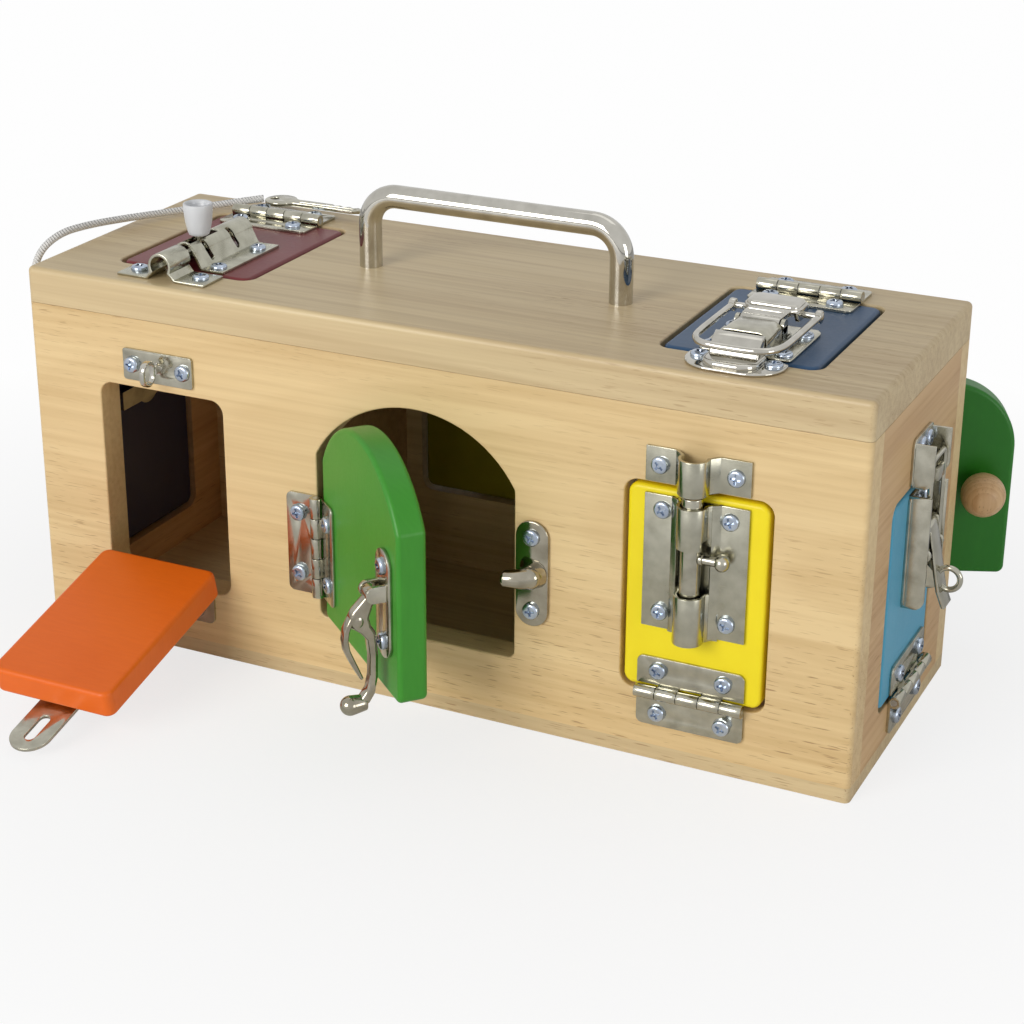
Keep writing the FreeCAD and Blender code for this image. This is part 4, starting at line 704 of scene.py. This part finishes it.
boltPath = archPath(bolt["half"], bolt["foot"], bolt["inner"], bolt["wall"], bolt["axis"])
guidePath = archPath(bolt["foot"] + 0.4, bolt["foot"] - 0.6, bolt["inner"], bolt["wall"], bolt["axis"])
guides = [folded(guidePath, bolt["wall"], *bolt[spot], "guide") for spot in ("lowGuide", "highGuide")]
wings = [folded([(side * bolt["half"], 0.62), (side * bolt["foot"], 0.62), (side * 6.3, 2.6)], bolt["wall"] + 0.04,
                bolt["low"], bolt["high"], "wing") for side in (-1, 1)]
floorStrip = brick((-7.5, bolt["low"], 0.05), (7.5, bolt["high"], 0.9), "floorStrip")
heel = drum(bolt["inner"] + 0.2, (0, bolt["lowGuide"][0] + 0.2, bolt["axis"]),
            (0, bolt["lowGuide"][0] + 1.3, bolt["axis"]), "heel", 40)
armSlot = brick((2, bolt["arm"] - 2, bolt["axis"] - 2.6), (9, bolt["arm"] + 7.6, bolt["axis"] + 2.6), "armSlot")
cutAway(guides[1], armSlot)
boltBase = joined("yellowBoltBase", *[smooth(edged(part, 0.25, 2, 50), 30) for part in guides + wings],
                  floorStrip, smooth(edged(heel, 0.3)))
settle(boltBase, "yellow", "yellow_door", brushed, "yellow_bolt_base", slot="nickel")

rodPiece = edged(drum(bolt["rod"], (0, bolt["rodLow"], bolt["axis"]), (0, bolt["rodHigh"], bolt["axis"]),
                      "rod", 64), 0.5, 3)
armPiece = drum(bolt["armRadius"], (3, bolt["arm"], bolt["axis"]), (bolt["armReach"] - 1, bolt["arm"], bolt["axis"]),
                "arm", 32)
armCollar = edged(drum(2.3, (3.4, bolt["arm"], bolt["axis"]), (5.0, bolt["arm"], bolt["axis"]), "armCollar", 32), 0.3)
ballPiece = bead(bolt["ball"], (bolt["armReach"], bolt["arm"], bolt["axis"]), (0.86, 1, 1), "armBall", 40)
settle(smooth(joined("yellowBoltRod", rodPiece, armPiece, armCollar, ballPiece)), "yellow", "yellow_bolt_rod",
       nickel, "yellow_bolt_rod", slot="nickel")

keeper = {"yellow": (83.6, 97.1)}
yellowKeeper = smooth(edged(folded(boltPath, bolt["wall"], *keeper["yellow"], "yellowKeeper"), 0.25, 2, 50), 30)
settle(yellowKeeper, "yellow", "box", brushed, "yellow_bolt_keeper", opened=False, slot="nickel")

# Red bolt: a folded body with slanted slots, a rod, a knob and a keeper

latch = {"half": 17.5, "foot": 8.6, "low": 34.5, "high": 77, "axis": 6.0, "inner": 4.0, "wall": 1.1,
         "slots": (47.5, 66.5), "slotWide": 2.7, "crown": (55.9, 76.1), "rodAxis": 5.0, "rodRadius": 2.7,
         "rodLow": 37.5, "rodHigh": 79.4, "knobAt": 66}
bodyPath = archPath(latch["half"], latch["foot"], latch["inner"], latch["wall"], latch["axis"], waist=8)
redBody = folded(bodyPath, latch["wall"], latch["low"], latch["high"], "redBody")
leans = []
for spot in latch["slots"]:
    lean = edged(brick((-10, -latch["slotWide"] / 2, 2.6), (-2.2, latch["slotWide"] / 2, 13), "lean"), 0.9, 3)
    lean.data.transform(Matrix.Translation((0, spot, 0)) @ turned(-14, "X"))
    leans.append(lean)
crownSlot = brick((-2.3, latch["crown"][0], 6), (2.3, latch["crown"][1], 13), "crownSlot")
cutAway(redBody, *leans, crownSlot)
settle(smooth(edged(redBody, 0.22, 2, 50), 30), "red", "red_door", brushed, "red_bolt_body", slot="nickel")

redKeeperPath = archPath(20, 7.4, latch["inner"], latch["wall"], latch["axis"], waist=-32)
redKeeper = smooth(edged(folded(redKeeperPath, latch["wall"], 80.6, 95.0, "redKeeper"), 0.25, 2, 50), 30)
settle(redKeeper, "red", "box", brushed, "red_bolt_keeper", opened=False, slot="nickel")

redBar = edged(drum(latch["rodRadius"], (0, latch["rodLow"], latch["rodAxis"]),
                    (0, latch["rodHigh"], latch["rodAxis"]), "redBar", 48), 1.0, 4)
redStem = drum(1.8, (0, latch["knobAt"], latch["rodAxis"]), (0, latch["knobAt"], 16.4), "redStem", 24)
settle(smooth(joined("redBoltRod", redBar, redStem)), "red", "red_bolt_rod", nickel, "red_bolt_rod", slot="nickel")


def lathe(profile, name="lathe", sides=56):
    # Turns a profile of (distance from the axis, height) about Z.
    piece = wire(name, [(away, 0, height) for away, height in profile], kind="POLY")
    turning = piece.modifiers.new("turning", "SCREW")
    turning.steps = turning.render_steps = sides
    turning.use_merge_vertices = True
    turning.merge_threshold = 0.0005
    only(piece)
    bpy.ops.object.modifier_apply(modifier=turning.name)
    bpy.ops.object.mode_set(mode="EDIT")
    bpy.ops.mesh.select_all(action="SELECT")
    bpy.ops.mesh.remove_doubles(threshold=0.0005)
    bpy.ops.mesh.normals_make_consistent(inside=False)
    bpy.ops.object.mode_set(mode="OBJECT")
    return piece


knobFoot = 11.5
knob = lathe([(0, 6.1), (1.9, 6.1), (1.9, 0), (3.4, 0), (4.1, 0.5), (4.5, 1.6), (5.35, 5.5), (5.8, 9.6), (5.95, 12.2),
              (5.8, 12.8), (5.3, 13.0), (4.7, 12.75), (4.45, 12.0), (4.3, 10.4), (3.8, 9.8), (0, 9.6)], "redKnob")
knob.data.transform(Matrix.Translation((0, latch["knobAt"], knobFoot)))
settle(smooth(knob, 50), "red", "red_bolt_rod", plastic, "red_bolt_knob", slot="white_plastic")

# Blue case latch: base with a hood, domed lever, round bail, catch with a rounded nose

case = {"shift": -1.5, "half": 17.5, "low": 40, "high": 77.1, "lever": 9.5, "pivot": 60, "axis": 7.5,
        "stub": 44, "tip": 37.5, "bail": 18, "wire": 1.35, "end": 92.2, "hood": (63.7, 79.3),
        "catchHalf": 18.5, "catch": (80.6, 97.2)}
shift = case["shift"]


def roundedOutline(x0, x1, y0, y1, lowCorner, highCorner, steps=8):
    return (arc((x1 - lowCorner, y0 + lowCorner), lowCorner, -90, 0, steps)
            + arc((x1 - highCorner, y1 - highCorner), highCorner, 0, 90, steps)
            + arc((x0 + highCorner, y1 - highCorner), highCorner, 90, 180, steps)
            + arc((x0 + lowCorner, y0 + lowCorner), lowCorner, 180, 270, steps))


basePlate = edged(slab(roundedOutline(shift - case["half"], shift + case["half"], case["low"], case["high"], 4, 2),
                       0.05, 1.25, "basePlate"), 0.5, 3)
raised = edged(slab(roundedOutline(shift - 9.4, shift + 9.4, case["low"] + 9, case["high"] - 0.4, 4, 1),
                    1.0, 2.6, "raised"), 0.8, 3)
side = case["lever"]
hoodPath = [(-side, 0.6), (-side, 6.2)] + arc((-side + 3.6, 6.4), 3.6, 180, 90, 8) + arc(
    (side - 3.6, 6.4), 3.6, 90, 0, 8) + [(side, 6.2), (side, 0.6)]
hoodPath = [(x * 0.94 + shift, y) for x, y in hoodPath]
hood = folded(hoodPath, 1.0, *case["hood"], "hood")
ears = []
for edge in (-1, 1):
    x = shift + edge * 8.7
    ear = drum(2.6, (x - 0.7, case["pivot"], case["axis"]), (x + 0.7, case["pivot"], case["axis"]), "ear", 32)
    web = brick((x - 0.7, case["pivot"] - 2.6, 0.8), (x + 0.7, case["pivot"] + 2.6, case["axis"]), "web")
    ears += [ear, web]
settle(joined("toggleBase", smooth(basePlate), smooth(raised), smooth(edged(hood, 0.3, 2, 50), 30),
              *[smooth(part) for part in ears]),
       "blue", "blue_door", nickel, "toggle_latch_base", slot="nickel")

top = case["axis"] + 3.0
wideOutline = (arc((shift + 7.6, case["tip"] + 3.4), 3.4, -90, 0, 8)
               + [(shift + 11, case["tip"] + 9.5), (shift + 9.8, case["tip"] + 12), (shift + 7.9, case["tip"] + 13.4),
                  (shift + 7.6, case["pivot"] - 0.2), (shift - 7.6, case["pivot"] - 0.2),
                  (shift - 7.9, case["tip"] + 13.4), (shift - 9.8, case["tip"] + 12), (shift - 11, case["tip"] + 9.5)]
               + arc((shift - 7.6, case["tip"] + 3.4), 3.4, 180, 270, 8))
cover = edged(slab(wideOutline, top - 2.4, top + 0.4, "cover"), 0.7, 3)
dome = edged(slab(roundedOutline(shift - 10.2, shift + 10.2, case["tip"] + 0.4, case["tip"] + 12.4, 3.4, 3),
                  top - 0.6, top + 1.55, "dome"), 1.1, 4)
barrel = edged(drum(3.0, (shift - 7.5, case["pivot"], case["axis"]), (shift + 7.5, case["pivot"], case["axis"]),
                    "barrel", 48), 0.4, 3)
lip = edged(brick((shift - 7.0, case["pivot"] - 6.4, top - 0.4), (shift + 7.0, case["pivot"] - 4.4, top + 0.95),
                  "lip"), 0.6, 3)
cheeks = [edged(slab([(case["stub"] - 4.5, case["axis"] - 1.6), (case["stub"] + 4.5, case["axis"] - 1.6),
                      (case["stub"] + 7, top - 0.6), (case["stub"] - 6, top - 0.6)],
                     shift + spot - 1, shift + spot + 1, "cheek"), 0.5, 2) for spot in (-9.9, 9.9)]
for cheek in cheeks:
    cheek.data.transform(sideOn)
stubs = drum(1.2, (shift - 16.9, case["stub"], case["axis"]), (shift + 16.9, case["stub"], case["axis"]), "stubs", 24)
heads = [bead(2.1, (shift + spot, case["stub"], case["axis"]), (0.5, 1, 1), "stubHead", 24) for spot in (-17.3, 17.3)]
settle(joined("toggleLever", *[smooth(part, 40) for part in [cover, dome, barrel, lip, *cheeks, stubs, *heads]]),
       "blue", "toggle_latch_lever", chrome, "toggle_latch_lever", slot="nickel")

leg = case["bail"] - case["wire"]
front = case["end"] - case["wire"]
bailPoints = [(-leg, case["stub"] + 1.6), (-leg, 54), (-leg, 66), (-leg, 76), (-leg * 0.97, 84),
              (-leg * 0.74, front - 0.8), (-leg * 0.3, front + 0.1), (0, front + 0.1)]
bailPoints += [(-x, y) for x, y in bailPoints[-2::-1]]
bail = wire("toggleBail", [(shift + x, y, case["axis"]) for x, y in bailPoints], case["wire"], 8)
eyes = [edged(drum(2.5, (shift + x - 1.25, case["stub"], case["axis"]), (shift + x + 1.25, case["stub"], case["axis"]),
                   "eye", 32), 0.6, 3) for x in (-leg, leg)]
settle(joined("toggleLoop", smooth(bail, 60), *[smooth(eye) for eye in eyes]), "blue", "toggle_latch_loop", chrome,
       "toggle_latch_loop", slot="nickel")

x0, x1 = shift - case["catchHalf"], shift + case["catchHalf"]
catchPlate = edged(slab(roundedOutline(x0, x1, *case["catch"], 2, 12, 12), 0.05, 1.3, "catchPlate"), 0.5, 3)
apron = edged(slab(roundedOutline(shift - 10.4, shift + 10.4, case["catch"][0] + 0.4, case["catch"][1] - 0.6, 2, 7, 10),
                   0.8, 3.6, "apron"), 1.2, 4)
noseShape = slab([(0, 0.8), (6.9, 0.8)] + [(6.9 * math.cos(math.radians(a)), 1.4 + 8.9 * math.sin(math.radians(a)))
                                            for a in range(6, 91, 12)] + [(0, 10.3)],
                 shift - 9.2, shift + 9.2, "nose")
noseShape.data.transform(Matrix.Translation((0, case["catch"][0] + 1.0, 0)) @ sideOn)
settle(joined("toggleCatch", smooth(catchPlate), smooth(apron), smooth(edged(noseShape, 2.4, 6, 50), 60)),
       "blue", "box", chrome, "toggle_latch_catch", opened=False, slot="nickel")

# Light blue draw latch: lever with a ring, wire loop

pull = {"shift": 0.8, "pivot": 66, "axis": 5, "stub": 57, "tip": 34, "tilt": -12, "lever": 4.8, "loop": 9.4,
        "wire": 1.0, "end": 95.25, "ringAt": (44.5, 10), "ring": 4.45, "ringWire": 1.15}
shift = pull["shift"]
coverSide = slab([(pull["pivot"] - 1, pull["axis"] + 0.7), (pull["pivot"] + 1.4, pull["axis"] + 1.2),
                  (pull["pivot"] + 0.6, pull["axis"] + 2.4), (pull["stub"], pull["axis"] + 2.5),
                  (pull["tip"] + 6, pull["axis"] + 2.3), (pull["tip"], pull["axis"] + 3.4),
                  (pull["tip"] + 0.3, pull["axis"] + 2.0), (pull["tip"] + 7, pull["axis"] + 0.8)],
                 shift - pull["lever"], shift + pull["lever"], "coverSide")
coverSide.data.transform(sideOn)
pullCheeks = []
for edge in (-1, 1):
    x = shift + edge * (pull["lever"] - 0.6)
    cheek = slab([(pull["stub"] - 4, pull["axis"] - 1.5), (pull["pivot"] + 1.5, pull["axis"] - 1.8),
                  (pull["pivot"] + 2.2, pull["axis"] + 0.6), (pull["pivot"], pull["axis"] + 2.2),
                  (pull["stub"] - 9, pull["axis"] + 1.8)], x - 0.6, x + 0.6, "pullCheek")
    cheek.data.transform(sideOn)
    pullCheeks.append(cheek)
pullBarrel = drum(2.4, (shift - 4.7, pull["pivot"], pull["axis"]), (shift + 4.7, pull["pivot"], pull["axis"]),
                  "pullBarrel", 40)
pullStubs = drum(1.2, (shift - 8.6, pull["stub"], pull["axis"]), (shift + 8.6, pull["stub"], pull["axis"]),
                 "pullStubs", 24)
ringPoints = [(shift, pull["ringAt"][0] + pull["ring"] * math.cos(math.radians(a)),
               pull["ringAt"][1] + pull["ring"] * math.sin(math.radians(a))) for a in range(0, 360, 20)]
padRing = wire("padRing", ringPoints, pull["ringWire"], 6, closed=True)
pullLever = joined("drawLever", *[smooth(edged(part, 0.3), 40) for part in [coverSide, *pullCheeks, pullBarrel]],
                   smooth(pullStubs), smooth(padRing, 60))
tilt = turned(pull["tilt"], "X", (0, pull["pivot"], pull["axis"]))
settle(pullLever, "sky", "draw_latch_lever", nickel, "draw_latch_lever", slot="nickel", extra=tilt)

leg = pull["loop"] - pull["wire"]
front = pull["end"] - pull["wire"]
loopPoints = [(-leg, pull["stub"] + 1.4), (-leg, 70), (-leg, 80), (-leg, 87), (-leg, front - 1.6),
              (-leg + 1.6, front), (0, front)]
loopPoints += [(-x, y) for x, y in loopPoints[-2::-1]]
drawLoop = wire("drawLoop", [(shift + x, y, pull["axis"]) for x, y in loopPoints], pull["wire"], 8)
loopEyes = [edged(drum(2.4, (shift + x - 0.95, pull["stub"], pull["axis"]),
                       (shift + x + 0.95, pull["stub"], pull["axis"]), "loopEye", 32), 0.4, 2) for x in (-leg, leg)]
settle(joined("drawLoop", smooth(drawLoop, 60), *[smooth(eye) for eye in loopEyes]), "sky", "draw_latch_loop", nickel,
       "draw_latch_loop", slot="nickel",
       extra=tilt @ turned(-pull["tilt"], "X", (0, pull["stub"], pull["axis"])))

# Arched door's cast lever and the cast prong on the box

cast = {"pivot": -43, "axis": 6, "across": 70.5, "wide": 5.0, "claw": 4.4, "reach": 44.5,
        "footRise": 15, "footRadius": 3.8}
barSide = [(-0.5, -2.3), (2, -2.2), (5, -0.2), (9.5, 1.3), (12.6, 0.6), (15.5, -1.2), (24, -1.9), (34, -1.7),
           (40.5, -0.4), (43.8, 1.7), (45.9, 4.4), (46.6, 8),
           (43.6, 8.4), (42, 5.2), (38.4, 2.6), (33, 1.5), (25, 1.3), (18.5, 2.1),
           (15.5, 4.4), (13.4, 7), (11, 8.4), (8.4, 8.6), (6.0, 7.4), (1.5, 3.0), (-1.2, 2.3)]
clawSide = [(9, 6.8), (14, 8.8), (17.5, 9.3), (21.5, 8.7), (25.5, 7.1), (29.8, 5.3), (33.5, 3.8),
            (34.2, 4.9), (30.2, 7.0), (26, 9.1), (21.8, 10.8), (17.5, 11.4), (13, 10.8), (8.2, 8.4)]


def sidePlate(points, wide, name):
    outline = [(cast["pivot"] + down, cast["axis"] + up) for down, up in points]
    piece = slab(outline, -cast["across"] - wide / 2, -cast["across"] + wide / 2, name)
    piece.data.transform(turned(90, "X"))
    return piece


leverBar = smooth(edged(sidePlate(barSide, cast["wide"], "leverBar"), 1.25, 4, 50), 60)
leverClaw = smooth(edged(sidePlate(clawSide, cast["claw"], "leverClaw"), 0.8, 3, 50), 60)
boss = edged(drum(2.9, (cast["pivot"], cast["across"] - 2.25, cast["axis"]),
                  (cast["pivot"], cast["across"] + 2.25, cast["axis"]), "boss", 36), 0.5, 3)
shoulder = bead(3.1, (cast["pivot"] + 10.4, cast["across"], cast["axis"] + 5.4), (1.25, 0.95, 1.1), "shoulder", 32)
footAt = cast["pivot"] + cast["reach"]
foot = edged(drum(3.0, (footAt - 0.3, cast["across"], cast["axis"] + 2.6),
                  (footAt, cast["across"], cast["footRise"] - 0.5), "foot", 40, top=cast["footRadius"]), 0.6, 3)
bulb = bead(cast["footRadius"], (footAt, cast["across"], cast["footRise"] - 0.3), (1, 1, 1.02), "bulb", 40)
settle(joined("archLever", leverBar, leverClaw, *[smooth(part, 60) for part in (boss, shoulder, foot, bulb)]),
       "arch", "arch_latch_lever", castNickel, "arch_latch_lever", slot="nickel")

prongLook = {"at": -37.5, "tip": (84.5, 9.05, 3.2), "saddle": (92.0, 4.6, 4.9),
             "plate": (-59, -16, 84.9, 98.3), "path": [
    (93.0, 0.8, 5.3), (92.4, 3.2, 4.9), (91.2, 5.4, 4.4), (89.4, 7.2, 3.9), (87.4, 8.2, 3.5), (85.4, 8.8, 3.3),
    (84.2, 9.1, 3.2)]}  # each with its place across, its rise and its radius


prong = wire("prong", [(prongLook["at"], across, up) for across, up, radius in prongLook["path"]], 1, 8,
             radii=[radius for across, up, radius in prongLook["path"]])
across, up, radius = prongLook["tip"]
prongTip = bead(radius, (prongLook["at"], across, up), (1, 0.55, 1), "prongTip", 32)
across, up, radius = prongLook["saddle"]
saddle = bead(radius, (prongLook["at"], across, up), (0.95, 1.0, 0.85), "saddle", 32)


def oblongOutline(low, high, left, right, steps=14):
    radius = (right - left) / 2
    middle = (left + right) / 2
    return arc((high - radius, middle), radius, -90, 90, steps) + arc((low + radius, middle), radius, 90, 270, steps)


keeperPlate = edged(slab(oblongOutline(*prongLook["plate"]), 0.05, 1.6, "keeperPlate"), 0.6, 3)
settle(joined("archKeeper", smooth(keeperPlate), *[smooth(part, 60) for part in (prong, prongTip, saddle)]),
       "arch", "box", castNickel, "arch_keeper", opened=False, slot="nickel")

# Handle and ball knob

grip = {"left": -53, "right": 55, "rise": 29.5, "radius": 4.6, "bend": 12, "boxTop": 155}


bend = grip["bend"]
gripLine = ([(grip["left"], 0)] + arc((grip["left"] + bend, grip["rise"] - bend), bend, 180, 90, 14)
            + arc((grip["right"] - bend, grip["rise"] - bend), bend, 90, 0, 14) + [(grip["right"], 0)])
handle = wire("carryHandle", [(x, 0, grip["boxTop"] + z) for x, z in gripLine], grip["radius"], 12, kind="POLY")
handle = smooth(edged(handle, 0.4, 2, 60), 50)
handle.data.transform(metre)
dress(handle, chrome)
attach(handle, "box")
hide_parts("carry_handle")

ballLook = {"at": (-40, 43), "radius": 8.95, "middle": 9.45, "neck": 5.0, "neckTop": 4}
ball = joined("ballKnob", bead(ballLook["radius"], (*ballLook["at"], ballLook["middle"]), name="ball", sides=64),
              edged(drum(ballLook["neck"], (*ballLook["at"], 0.02), (*ballLook["at"], ballLook["neckTop"]), "ballNeck",
                         40), 0.3))
settle(smooth(ball, 50), "back", "back_green_door", knobWood, "ball_knob", slot="ball_wood")

print("latches made")

# Floor, lamps and world

studio = {"floor": 3.0, "world": 0.33, "key": 17.5, "fill": 5.0, "top": 1.0, "paper": (0.10, 0.42), "near": 0.72,
          "mirror": 0.72}
deselect()
bpy.ops.mesh.primitive_plane_add(size=studio["floor"] * 2, location=(0, 0, -0.0002))
floor = named("floor")
floorMaterial, floorFlow, floorShader = newMaterial("floorPaper", Roughness=0.9)
floorPlace = floorFlow.node("TexCoord", {}, {}, "Object")
speckle = floorFlow.noise(floorPlace, 40.0)
feed(floorShader, floorFlow, Base_Color=speckle.tint(tone(252, 252, 252), tone(249, 249, 250)))
away = floorFlow.node("VectorMath", {"operation": "LENGTH"}, {0: floorPlace}, 1)
cameraRay = floorFlow.node("LightPath", {}, {}, 0)
whitePaper = floorFlow.node("Emission", {}, {"Color": (1, 1, 1, 1), "Strength": 0.99})
whiteness = away.ramp(*studio["paper"]) * (1 - studio["near"]) + studio["near"]
paper = floorFlow.node("MixShader", {}, {0: whiteness * cameraRay, 2: whitePaper})
floorFlow.tree.links.new(floorShader.outputs[0], paper.socket.node.inputs[1])
floorFlow.tree.links.new(paper.socket, floorFlow.tree.nodes["Material Output"].inputs[0])
dress(floor, floorMaterial)

world = bpy.data.worlds.new("studio")
world.use_nodes = True
bpy.context.scene.world = world
worldFlow = Flow(world.node_tree)
sky = world.node_tree.nodes["Background"]
lightPath = world.node_tree.nodes.new("ShaderNodeLightPath")
seen = Flow(world.node_tree, lightPath.outputs["Is Camera Ray"])
mirrored = Flow(world.node_tree, lightPath.outputs["Is Glossy Ray"])
through = Flow(world.node_tree, lightPath.outputs["Is Transmission Ray"])
direct = seen.maths("MINIMUM", seen + mirrored * studio["mirror"] + through, 1.0)
sky.inputs["Color"].default_value = (1, 1, 1, 1)
strength = direct + (1 - direct) * studio["world"]
world.node_tree.links.new(strength.socket, sky.inputs["Strength"])


def lamp(name, place, target, size, power, colour=(1, 1, 1)):
    data = bpy.data.lights.new(name, "AREA")
    data.shape = "RECTANGLE"
    data.size, data.size_y = size
    data.energy = power
    data.color = colour
    light = bpy.data.objects.new(name, data)
    light.location = place
    light.rotation_euler = (Vector(target) - Vector(place)).to_track_quat("-Z", "Y").to_euler()
    bpy.context.scene.collection.objects.link(light)


lamp("keyLamp", (-0.5, -1.6, 0.75), (0, 0, 0.08), (1.0, 0.8), studio["key"], (1, 0.985, 0.96))
lamp("fillLamp", (1.7, -0.5, 0.35), (0, 0, 0.08), (0.7, 0.7), studio["fill"])
lamp("topLamp", (0.1, 0.5, 1.5), (0, 0, 0.1), (1.2, 0.6), studio["top"])
bpy.context.scene.view_settings.view_transform = "Standard"
print("lamps set")
